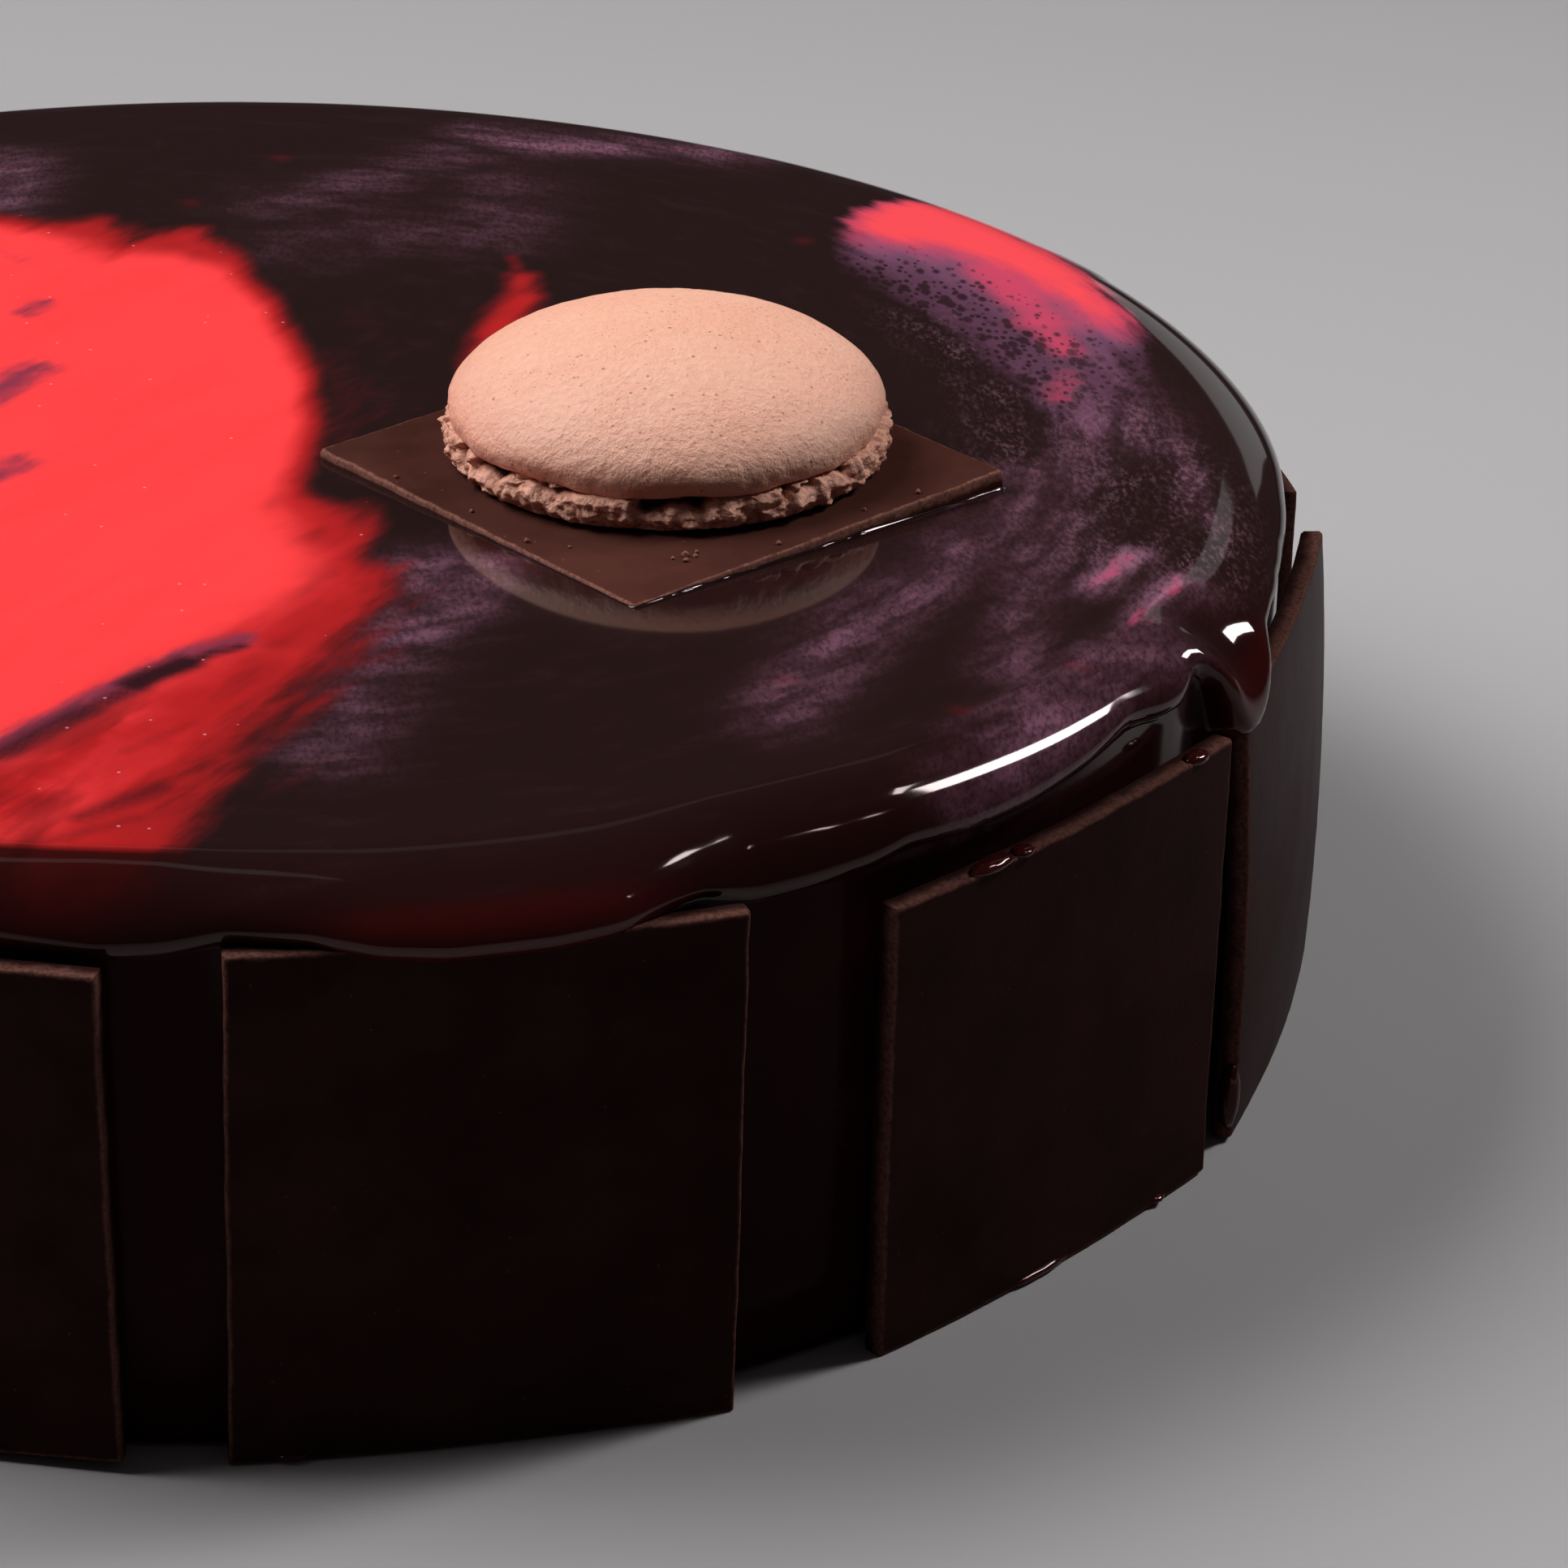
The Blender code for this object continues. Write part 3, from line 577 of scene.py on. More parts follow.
def build_glaze(plaques, material):
    points, rows = glaze_points(glaze_runs(plaques))
    mesh = make_mesh("glaze", points, grid_faces(rows, GLAZE_STEPS, True))
    add_marbling(mesh)
    item = add_object("glaze", mesh, material)
    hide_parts("mirror_glaze")


# Slabs: plaques and tile

def edge_lines(length):
    """Distances along a side of this length, close together at both ends."""
    edge = EDGE_ROUND * np.array([0.0, 0.12, 0.35, 0.65, 1.0, 1.6])
    inner = np.linspace(edge[-1], length - edge[-1], SLAB_CELLS)
    return np.concatenate([edge[:-1], inner, length - edge[:-1][::-1]])


def slab_mesh(name, sides, place, thick, wobble, swell, seed):
    """Closed thin slab. place(u, v) gives points and outward normals for shares u and v."""
    grid_u, grid_v = np.meshgrid(edge_lines(sides[0]), edge_lines(sides[1]))
    from_u = np.minimum(grid_u, sides[0] - grid_u)
    from_v = np.minimum(grid_v, sides[1] - grid_v)
    rough_u = uneven(grid_u, grid_v, wobble, seed)
    rough_v = uneven(grid_v, grid_u, wobble, seed + 7.0)
    points, normals = place((grid_u + rough_u) / sides[0], (grid_v + rough_v) / sides[1])
    sink = rounded_edge(from_u, from_v)
    edge_distance = np.minimum(from_u, from_v)
    bumps = slab_bumps(points, edge_distance, wobble, swell, seed)
    front = points + normals * (bumps - sink)[..., None]
    back = points + normals * (sink - thick)[..., None]
    rows, columns = grid_u.shape
    faces = grid_faces(rows, columns, False)
    faces += [tuple(rows * columns + corner for corner in reversed(face)) for face in faces]
    faces += rim_faces(rows, columns)
    mesh = make_mesh(name, np.concatenate([front.reshape(-1, 3), back.reshape(-1, 3)]), faces)
    distance = edge_distance.reshape(-1) / MM
    add_values(mesh, "edge", np.concatenate([distance, distance + BACK_EDGE]))
    return mesh


def uneven(main, other, wobble, seed):
    """Small shifts of a slab's outline."""
    cells = np.stack([main.reshape(-1), other.reshape(-1), np.full(main.size, 0.01)], axis=1)
    rough = fractal(cells, 260.0, 3, seed) + 0.6 * fractal(cells, 60.0, 2, seed + 1.0)
    return rough.reshape(main.shape) * wobble


def rounded_edge(from_u, from_v):
    """How far a slab's face falls away towards its rounded edges."""
    corner = np.hypot(np.maximum(EDGE_ROUND - from_u, 0.0), np.maximum(EDGE_ROUND - from_v, 0.0))
    return EDGE_ROUND - np.sqrt(np.maximum(EDGE_ROUND ** 2 - np.minimum(corner, EDGE_ROUND) ** 2, 0.0))


def slab_bumps(points, edge_distance, wobble, swell, seed):
    """Broad swells of a slab's face, and small chips along its edges."""
    flat = points.reshape(-1, 3)
    swells = fractal(flat, 55.0, 3, seed).reshape(edge_distance.shape) * swell
    near = 1.0 - smooth(edge_distance, 0.0, 3.0 * EDGE_ROUND)
    chips = np.abs(fractal(flat, 900.0, 2, seed + 3.0)).reshape(edge_distance.shape)
    return swells - chips * near * wobble * 0.6


def rim_faces(rows, columns):
    """Quads that join the border of the front sheet to the border of the back sheet."""
    top = [(0, column) for column in range(columns)]
    right = [(row, columns - 1) for row in range(1, rows)]
    bottom = [(rows - 1, column) for column in range(columns - 2, -1, -1)]
    left = [(row, 0) for row in range(rows - 2, 0, -1)]
    border = [row * columns + column for row, column in top + right + bottom + left]
    count = rows * columns
    return [(a, b, count + b, count + a) for a, b in zip(border, border[1:] + border[:1])]


def fit_surface(t, z, out):
    """Coefficients of the curved sheet 1, t, z, t*t, t*z, z*z through points, lightly damped."""
    terms = np.stack([np.ones_like(t), t, z, t * t, t * z, z * z], axis=1)
    size = np.array([1.0, FIT_SPAN, FIT_SPAN, FIT_SPAN ** 2, FIT_SPAN ** 2, FIT_SPAN ** 2])
    scaled = np.concatenate([terms / size, FIT_DAMPING * np.diag([0.0, 1.0, 1.0, 1.0, 1.0, 1.0])])
    target = np.concatenate([out - out.mean(), np.zeros(6)])
    fit = np.linalg.lstsq(scaled, target, rcond=None)[0] / size
    fit[0] += out.mean()
    return fit


def sheet(fit, s, h):
    """How far out a fitted sheet lies at places across and up it, and its slopes both ways."""
    reach = fit[0] + fit[1] * s + fit[2] * h + fit[3] * s * s + fit[4] * s * h + fit[5] * h * h
    return reach, fit[1] + 2.0 * fit[3] * s + fit[4] * h, fit[2] + fit[4] * s + 2.0 * fit[5] * h


def outer_face(node, outward):
    """Points of a plaque's outer face."""
    facing = [polygon for polygon in node.data.polygons if Vector(outward).dot(polygon.normal) > 0.9]
    return mesh_points(node.data)[sorted({index for polygon in facing for index in polygon.vertices})]


def plaque_place(node):
    """Fits a plaque's outer face and returns its side lengths and its place function."""
    azimuth = math.radians(plaque_azimuth(node))
    along = np.array([math.cos(azimuth), math.sin(azimuth), 0.0])
    outward = np.array([math.sin(azimuth), -math.cos(azimuth), 0.0])
    outer = outer_face(node, outward)
    t, z, out = outer @ along, outer[:, 2], outer @ outward
    fit = fit_surface(t, z, out)
    corners = {}
    for side, end in ((-1, -1), (-1, 1), (1, -1), (1, 1)):
        index = np.argmax(side * t + end * z)
        corners[side, end] = np.array([t[index] + side * CAD_EDGE, z[index] + end * CAD_EDGE])

    def place(u, v):
        u, v = u[..., None], v[..., None]
        low = corners[-1, -1] * (1.0 - u) + corners[1, -1] * u
        high = corners[-1, 1] * (1.0 - u) + corners[1, 1] * u
        flat = low * (1.0 - v) + high * v
        s, h = flat[..., :1], flat[..., 1:]
        reach, slope_s, slope_h = sheet(fit, s, h)
        spots = s * along + reach * outward + h * UP
        normals = outward - slope_s * along - slope_h * UP
        return spots, normals / np.linalg.norm(normals, axis=-1, keepdims=True)

    width = np.linalg.norm(corners[1, -1] - corners[-1, -1])
    height = np.linalg.norm(corners[-1, 1] - corners[-1, -1])
    return (width, height), place


def build_plaque(number, node, sides, place, material):
    name = "plaque_%02d" % number
    mesh = slab_mesh(name, sides, place, PLAQUE_THICK, PLAQUE_WOBBLE, PLAQUE_SWELL, 3.7 * number)
    item = add_object(name, mesh, material)
    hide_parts(node.name)


def ball(rows, steps):
    """Directions over a ball, row after row from its lower pole."""
    return [Vector((math.cos(height) * math.cos(turn), math.cos(height) * math.sin(turn), math.sin(height)))
            for height in np.linspace(-math.pi / 2.0, math.pi / 2.0, rows)
            for turn in np.linspace(0.0, math.tau, steps, endpoint=False)]


def lump_mesh(name, lumps, rows, steps):
    """One mesh of several closed lumps, each the points of a ball."""
    faces = grid_faces(rows, steps, True)
    starts = [rows * steps * count for count in range(len(lumps))]
    faces = [tuple(start + index for index in face) for start in starts for face in faces]
    return make_mesh(name, [point for lump in lumps for point in lump], faces)


def drop_points(drop, place):
    """Rounded drop that is partly sunk into the plaque carrying it."""
    across, up = np.array([drop.across]), np.array([drop.up])
    spots, normals = place(across, up)
    ahead = place(across + 0.01, up)[0][0] - spots[0]
    along = ahead / np.linalg.norm(ahead)
    normal = normals[0]
    upward = np.cross(normal, along)
    middle = spots[0] - normal * DROP_SUNK
    middle[2] = max(middle[2], drop.half_up)
    points = []
    for way in ball(DROP_ROWS, DROP_STEPS):
        rough = 1.0 + 0.12 * noise.noise(Vector((3.0 * way.x, 3.0 * way.y, 3.0 * drop.across)))
        reach = along * way.x * drop.half_across + normal * way.y * DROP_HALF_DEPTH
        points.append(middle + (reach + upward * way.z * drop.half_up) * rough)
    return points


def build_drops(places, material):
    lumps = [drop_points(drop, places[drop.plaque - 1]) for drop in DROPS]
    mesh = lump_mesh("drops", lumps, DROP_ROWS, DROP_STEPS)
    add_marbling(mesh)
    add_object("drops", mesh, material)


def tile_frame(node):
    """Matrix of the tile's top face, with its X and Y along the sides, and its two side lengths."""
    up = [polygon for polygon in node.data.polygons if polygon.normal.z > 0.95]
    area = max(polygon.area for polygon in up)
    face = {index for polygon in up if polygon.area > 0.5 * area for index in polygon.vertices}
    corners = [node.data.vertices[index].co for index in face]
    front = min(corners, key=lambda corner: corner.y)
    right = max(corners, key=lambda corner: corner.x)
    left = min(corners, key=lambda corner: corner.x)
    side_x, side_y = right - front, left - front
    axis_x = side_x.normalized()
    axis_z = axis_x.cross(side_y).normalized()
    axis_y = axis_z.cross(axis_x)
    matrix = Matrix((axis_x, axis_y, axis_z)).transposed().to_4x4()
    matrix.translation = (right + left) / 2.0
    return matrix, (side_x.length + 2.0 * TILE_CAD_EDGE, side_y.length + 2.0 * TILE_CAD_EDGE)


def build_tile(node, matrix, sides, material):
    origin = np.array(matrix.translation)
    axis_x, axis_y, axis_z = (np.array(matrix.col[index].xyz) for index in range(3))

    def place(u, v):
        spots = origin + (u - 0.5)[..., None] * sides[0] * axis_x + (v - 0.5)[..., None] * sides[1] * axis_y
        return spots, np.broadcast_to(axis_z, spots.shape)

    mesh = slab_mesh("tile", sides, place, TILE_THICK, TILE_WOBBLE, 0.4 * PLAQUE_SWELL, 91.0)
    item = add_object("tile", mesh, material)
    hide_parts(node.name)


def crumb_points(matrix, x, y, half):
    """Small uneven lump that rests in the tile's face."""
    middle = Vector((x, y, CRUMB_PROUD * half)) * MM
    points = []
    for way in ball(CRUMB_ROWS, CRUMB_STEPS):
        rough = 1.0 + 0.55 * noise.noise(way * 1.7 + Vector((x, y, 0.0)))
        points.append(matrix @ (middle + way * half * MM * rough))
    return points


def build_crumbs(matrix, material):
    lumps = [crumb_points(matrix, *crumb) for crumb in TILE_CRUMBS]
    mesh = lump_mesh("crumbs", lumps, CRUMB_ROWS, CRUMB_STEPS)
    add_values(mesh, "edge", np.zeros(len(mesh.vertices)))
    add_object("crumbs", mesh, material)


def meniscus_loop(sides):
    """Points round the tile in its own plane, each with the way out of the tile and its height."""
    half_x, half_y = sides[0] / 2.0, sides[1] / 2.0
    corners = ((-half_x, -half_y), (half_x, -half_y), (half_x, half_y), (-half_x, half_y))
    ways = ((0.0, -1.0), (1.0, 0.0), (0.0, 1.0), (-1.0, 0.0))
    loop = []
    for index, way in enumerate(ways):
        (x1, y1), (x2, y2) = corners[index], corners[(index + 1) % 4]
        for step in range(MENISCUS_STEPS):
            share = step / MENISCUS_STEPS
            x, y = x1 + (x2 - x1) * share, y1 + (y2 - y1) * share
            rough = noise.noise(Vector((x, y, 0.0)) * 420.0) * MENISCUS_UNEVEN[index]
            loop.append((x, y, way, MENISCUS_HIGH[index] * (0.9 + rough)))
    return loop


def meniscus_ring(matrix, loop, share):
    """One line of the fillet, from the glaze at share 0 up to the tile's side at share 1."""
    ring = []
    for x, y, way, most in loop:
        corner = matrix @ Vector((x, y, 0.0))
        side = matrix.to_3x3() @ Vector((*way, 0.0))
        side = Vector((side.x, side.y, 0.0)).normalized()
        room = max(corner.z - GLAZE_TOP - 3.0 * MENISCUS_SUNK, 2.0 * MENISCUS_SUNK)
        high = min(most, room)
        wide = MENISCUS_WIDE * (0.35 + 0.65 * high / MENISCUS_HIGH[0])
        lift = high * share ** 2.6 - MENISCUS_SUNK * (1.0 - share)
        out = wide * (1.0 - share) - MENISCUS_SUNK
        ring.append((corner.x + side.x * out, corner.y + side.y * out, GLAZE_TOP + lift))
    return ring


def build_meniscus(matrix, sides, material):
    """Glaze drawn up round the tile where the two meet, as a thin hollow fillet."""
    loop = meniscus_loop(sides)
    rings = [meniscus_ring(matrix, loop, row / MENISCUS_ROWS) for row in range(MENISCUS_ROWS + 1)]
    middle = matrix.translation
    sunk = GLAZE_TOP - 3.0 * MENISCUS_SUNK
    rings.append([(x + (middle.x - x) * 0.02, y + (middle.y - y) * 0.02, sunk) for x, y, z in rings[-1]])
    rings.append(rings[0])
    points = [point for ring in rings for point in ring]
    mesh = make_mesh("meniscus", points, grid_faces(len(rings), len(loop), True))
    add_marbling(mesh)
    add_object("meniscus", mesh, material)


# Macaron shell

def dome_rows():
    """Profile of the dome from the top down to the underside of its rim: radius and height."""
    power = 2.0 / DOME_POWER
    rows = []
    for index in range(DOME_ROWS + 1):
        angle = math.pi / 2.0 * (1.0 - (index / DOME_ROWS) ** 0.9)
        z = DOME_WIDEST + (DOME_TOP - DOME_WIDEST) * math.sin(angle) ** power
        rows.append((DOME_R * math.cos(angle) ** power, z))
    for index in range(1, RIM_ROWS + 1):
        angle = math.pi / 2.0 * index / RIM_ROWS
        drop = (DOME_WIDEST - DOME_LOW) * math.sin(angle)
        rows.append((DOME_R - RIM_TURNED_IN * (1.0 - math.cos(angle)), DOME_WIDEST - drop))
    return rows


def foot_rows():
    """Profile of the groove under the dome and of the foot, down to the base."""
    rows = []
    for share in np.linspace(0.25, 1.0, 4):
        rows.append((DOME_R - RIM_TURNED_IN + (GROOVE_R - DOME_R + RIM_TURNED_IN) * share,
                     DOME_LOW + (GROOVE_Z - DOME_LOW) * share ** 2))
    upper = FOOT_R - FOOT_ROUND
    for share in np.linspace(0.2, 1.0, 5):
        rows.append((GROOVE_R + (upper - GROOVE_R) * share, GROOVE_Z + (FOOT_HEIGHT - GROOVE_Z) * share))
    for share in np.linspace(0.0, 1.0, FOOT_ROWS)[1:]:
        bulge = FOOT_ROUND * math.sin(math.pi * min(share * 1.1, 1.0)) ** 0.7
        rows.append((upper + bulge - FOOT_ROUND * smooth(share, 0.93, 1.0), FOOT_HEIGHT * (1.0 - share)))
    return rows


def shell_mesh():
    dome, foot = dome_rows(), foot_rows()
    angles = np.linspace(0.0, math.tau, SHELL_STEPS, endpoint=False)
    circle = np.stack([np.cos(angles), np.sin(angles)], axis=1)
    rings = []
    for shape, rows in ((dome_ring, dome), (crag_ring, foot), (dome_ring, [(0.0, 0.0)])):
        for radius, z in rows:
            ring = np.concatenate([circle * radius, np.full((SHELL_STEPS, 1), z)], axis=1)
            rings.append(shape(ring, radius, z))
    return make_mesh("macaron", np.concatenate(rings), grid_faces(len(rings), SHELL_STEPS, True))


def dome_ring(ring, radius, z):
    """Slight unevenness of the smooth dome, and of its lower rim."""
    if radius < 1e-6:
        return ring
    low = 1.0 - smooth(z, DOME_LOW, DOME_WIDEST + 2.0 * MM)
    swell = fractal(ring, 70.0, 2, 4.0) * 0.16 * MM + fractal(ring, 480.0, 2, 8.0) * 0.045 * MM
    swell += fractal(ring, 1500.0, 2, 5.0) * 0.022 * MM
    rim = fractal(ring, 190.0, 3, 2.0) * 0.30 * MM * low
    out = ring.copy()
    out[:, :2] *= (1.0 + (swell + rim) / radius)[:, None]
    out[:, 2] += swell * smooth(z, DOME_WIDEST, DOME_TOP)
    out[:, 2] += fractal(ring * np.array([1.0, 1.0, 0.0]), 120.0, 3, 6.0) * 0.35 * MM * low
    return out


def crag_ring(ring, radius, z):
    """Crags, crumbs and pits of the foot."""
    crag = fractal(ring, 760.0, 4, 1.0)
    cells = np.array([noise.voronoi(Vector(p) * 700.0)[0][0] for p in ring])
    pit = np.maximum(fractal(ring * np.array([1.0, 1.0, 0.6]), 240.0, 3, 9.0) - 0.04, 0.0)
    upper = smooth(z, 0.35 * FOOT_HEIGHT, FOOT_HEIGHT)
    reach = crag * FOOT_CRAG + (0.45 - cells) * 0.55 * MM - pit * PIT_DEPTH * (0.25 + 1.2 * upper)
    low = smooth(z, 0.0, 0.4 * MM)
    out = ring.copy()
    out[:, :2] *= (1.0 + np.clip(reach * (0.4 + 0.6 * low), -2.4 * MM, 0.55 * MM) / radius)[:, None]
    out[:, 2] += fractal(ring, 500.0, 3, 5.0) * 0.25 * MM * low
    return out


def build_shell(node, matrix, material):
    inverse = np.array(matrix.inverted())
    points = mesh_points(node.data)
    local = points @ inverse[:3, :3].T + inverse[:3, 3]
    middle = (local.max(axis=0) + local.min(axis=0)) / 2.0
    mesh = shell_mesh()
    own = mesh_points(mesh)
    radius = np.hypot(own[:, 0], own[:, 1])
    add_values(mesh, "foot", 1.0 - smooth(own[:, 2], DOME_LOW - 0.4 * MM, DOME_LOW + 0.3 * MM))
    # How deep the foot's hollows lie, for the painted shade in them.
    add_values(mesh, "hollow", smooth(FOOT_R - radius, 0.8 * MM, 2.0 * MM)
               * (1.0 - smooth(own[:, 2], DOME_LOW - 0.2 * MM, DOME_LOW + 0.4 * MM)))
    place = matrix @ Matrix.Translation((middle[0], middle[1], local[:, 2].min()))
    mesh.transform(place)
    item = add_object("macaron", mesh, material)
    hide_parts(node.name)


# Materials

class Graph:
    """Short calls for building a material's nodes."""

    def __init__(self, name):
        self.material = bpy.data.materials.new(name)
        self.material.use_nodes = True
        self.tree = self.material.node_tree
        self.shader = self.tree.nodes["Principled BSDF"]

    def put(self, socket, value):
        """Links a node to a socket or sets the socket's own value, a colour with an alpha of 1."""
        if isinstance(value, bpy.types.NodeSocket):
            self.tree.links.new(value, socket)
        else:
            socket.default_value = (*value, 1.0) if socket.type == "RGBA" else value

    def set(self, name, value):
        self.put(self.shader.inputs[name], value)

    def node(self, kind, inputs, **settings):
        made = self.tree.nodes.new(kind)
        for key, value in settings.items():
            setattr(made, key, value)
        for key, value in inputs.items():
            self.put(made.inputs[key], value)
        return made

    def value(self, name):
        return self.node("ShaderNodeAttribute", {}, attribute_name=name).outputs["Fac"]

    def object_place(self):
        return self.node("ShaderNodeTexCoord", {}).outputs["Object"]

    def mapping(self, vector, turn=0.0, scale=(1.0, 1.0, 1.0)):
        inputs = {"Vector": vector, "Rotation": (0.0, 0.0, math.radians(turn)), "Scale": scale}
        return self.node("ShaderNodeMapping", inputs).outputs["Vector"]

    def noise(self, vector, scale, detail=3.0, rough=0.5, distortion=0.0):
        inputs = {"Vector": vector, "Scale": scale, "Detail": detail, "Roughness": rough,
                  "Distortion": distortion}
        return self.node("ShaderNodeTexNoise", inputs).outputs["Fac"]

    def cells(self, vector, scale, randomness=1.0):
        inputs = {"Vector": vector, "Scale": scale, "Randomness": randomness}
        return self.node("ShaderNodeTexVoronoi", inputs).outputs["Distance"]

    def math(self, operation, first, second=0.0, third=0.0):
        made = self.tree.nodes.new("ShaderNodeMath")
        made.operation = operation
        for socket, value in zip(made.inputs, (first, second, third)):
            self.put(socket, value)
        return made.outputs[0]

    def times(self, first, second):
        return self.math("MULTIPLY", first, second)

    def scaled(self, value, by, plus):
        return self.math("MULTIPLY_ADD", value, by, plus)

    def stirred(self, field, texture, gain):
        """A field of the mesh that a noise texture pushes up and down."""
        return self.scaled(self.math("SUBTRACT", texture, 0.5), gain, self.value(field))

    def smooth(self, value, low, high):
        inputs = {"Value": value, "From Min": low, "From Max": high}
        return self.node("ShaderNodeMapRange", inputs, interpolation_type="SMOOTHSTEP").outputs["Result"]

    def mix(self, share, first, second):
        made = self.tree.nodes.new("ShaderNodeMix")
        made.data_type = "RGBA"
        self.put(made.inputs["Factor"], share)
        self.put(made.inputs[6], first)
        self.put(made.inputs[7], second)
        return made.outputs[2]

    def bump(self, height, distance, strength=1.0):
        inputs = {"Height": height, "Distance": distance, "Strength": strength}
        self.set("Normal", self.node("ShaderNodeBump", inputs).outputs["Normal"])


def glaze_material():
    """Dark mirror glaze with its marbling, a painted dark red glow over its shoulder and lip, a redder
    painted glow where it is thick, and duller under its lip.
    """
    graph = Graph("glaze_mirror")
    place = graph.object_place()
    dragged = graph.mapping(graph.mapping(place, -FLOW_TURN), 0.0, (0.27, 1.0, 1.0))
    fine = graph.noise(dragged, 620.0, 5.0, 0.6)
    broad = graph.noise(dragged, 170.0, 4.0, 0.5, 0.3)
    soft = graph.noise(place, 120.0, 4.0, 0.55)
    arcs = graph.noise(polar_place(graph, place), 420.0, 5.0, 0.62)
    # Painted dark red glow over the shoulder and lip.
    colour = graph.mix(graph.value("lip"), GLAZE_BLACK, LIP_GLOW_RED)
    colour = mauve_layer(graph, colour, place, arcs, fine, soft)
    colour = red_layer(graph, colour, fine, broad, soft)
    colour = crescent_layer(graph, colour, place, arcs, soft)
    # Painted red glow where the glaze is thick.
    graph.set("Base Color", graph.mix(graph.times(graph.value("thick"), 0.8), colour, THICK_GLOW_RED))
    graph.set("Specular IOR Level", graph.scaled(graph.value("below"), -0.45, 0.5))
    graph.set("Roughness", graph.scaled(graph.value("below"), 0.12, 0.055))
    graph.set("IOR", 1.38)
    graph.set("Specular Tint", GLAZE_TINT)
    return graph.material


def polar_place(graph, place):
    """Coordinates that run round the cake and out from its middle, stretched round it."""
    parts = graph.node("ShaderNodeSeparateXYZ", {"Vector": place})
    angle = graph.math("ARCTAN2", parts.outputs["X"], graph.times(parts.outputs["Y"], -1.0))
    radius = graph.node("ShaderNodeVectorMath", {0: place}, operation="LENGTH").outputs["Value"]
    along = graph.times(angle, 0.2 * GLAZE_R)
    return graph.node("ShaderNodeCombineXYZ", {"X": along, "Y": radius, "Z": 0.0}).outputs["Vector"]


def mauve_layer(graph, colour, place, arcs, fine, soft):
    """Thin mauve haze in wisps, with brighter streaks, faint spots, specks and embers."""
    grit = graph.noise(graph.mapping(place, 0.0, (1.0, 0.4, 1.0)), 2300.0, 3.0, 0.6)
    broken = graph.times(graph.smooth(arcs, 0.34, 0.66), graph.smooth(soft, 0.28, 0.62))
    haze = graph.times(graph.value("mauve"), graph.scaled(broken, 1.0, 0.18))
    haze = graph.math("ADD", haze, graph.times(graph.smooth(arcs, 0.5, 0.85), 0.035))
    haze = graph.times(haze, graph.scaled(graph.smooth(grit, 0.32, 0.62), 0.75, 0.5))
    colour = graph.mix(haze, colour, MAUVE)
    colour = graph.mix(graph.smooth(graph.stirred("mauve", fine, 1.6), 0.72, 1.35), colour, MAUVE_BRIGHT)
    colour = graph.mix(graph.times(graph.value("spot"), 0.35), colour, RED_EDGE)
    drift = graph.smooth(graph.scaled(arcs, 0.8, graph.times(soft, 0.4)), 0.5, 0.72)
    specks = graph.times(graph.smooth(grit, 0.44, 0.72), graph.scaled(drift, 0.9, 0.1))
    colour = graph.mix(graph.times(specks, graph.value("speckle")), colour, MAUVE_GREY)
    embers = graph.stirred("ember", fine, 0.5)
    colour = graph.mix(graph.smooth(embers, 0.12, 0.65), colour, RED_EDGE)
    return graph.mix(graph.smooth(embers, 0.45, 1.05), colour, RED_DEEP)


def red_layer(graph, colour, fine, broad, soft):
    """The big red area: soft flames along the way that it was dragged, darkest at their edges."""
    flames = graph.scaled(graph.math("SUBTRACT", fine, 0.5), 0.22, graph.math("SUBTRACT", broad, 0.5))
    wisp = graph.value("wisp")
    reach = graph.scaled(flames, graph.times(wisp, 3.0), graph.value("red"))
    depth = graph.math("DIVIDE", reach, graph.scaled(wisp, 0.6, 0.9))
    red = red_tones(graph, broad, soft)
    red = graph.mix(graph.smooth(depth, 0.3, 2.4), RED_DEEP, red)
    red = graph.mix(graph.smooth(depth, -0.6, 1.2), RED_EDGE, red)
    red = red_streaks(graph, red, fine)
    return graph.mix(graph.smooth(depth, -1.0, 0.5), colour, red)


def red_tones(graph, broad, soft):
    """Bright red that sinks into deeper red in patches."""
    deep = graph.value("deep")
    tone = graph.times(graph.smooth(broad, 0.62, 0.3), 0.14)
    patches = graph.smooth(graph.scaled(broad, 0.7, graph.times(soft, 0.5)), 0.42, 0.72)
    sunk = graph.times(deep, graph.scaled(patches, 0.6, 0.6))
    red = graph.mix(graph.math("MAXIMUM", sunk, tone), RED_BRIGHT, RED_DEEP)
    murk = graph.times(deep, graph.smooth(broad, 0.48, 0.64))
    return graph.mix(graph.times(murk, 0.75), red, RED_EDGE)


def red_streaks(graph, red, fine):
    """Purple and dark streaks and tiny sparks on the red, which darkens over the shoulder into the painted
    dark red glow of the lip.
    """
    purple = graph.smooth(graph.stirred("purple", fine, 0.9), 0.22, 0.9)
    red = graph.mix(graph.times(purple, 0.9), red, PURPLE)
    red = graph.mix(graph.smooth(graph.stirred("dark", fine, 0.35), 0.18, 0.95), red, STREAK_DARK)
    sparks = graph.smooth(graph.cells(graph.object_place(), 330.0), 0.07, 0.03)
    red = graph.mix(graph.times(sparks, 0.5), red, SPARK)
    # Over the shoulder the red turns to the painted dark red glow.
    return graph.mix(graph.times(graph.smooth(graph.value("lip"), 0.0, 0.12), 0.95), red, LIP_GLOW_RED)


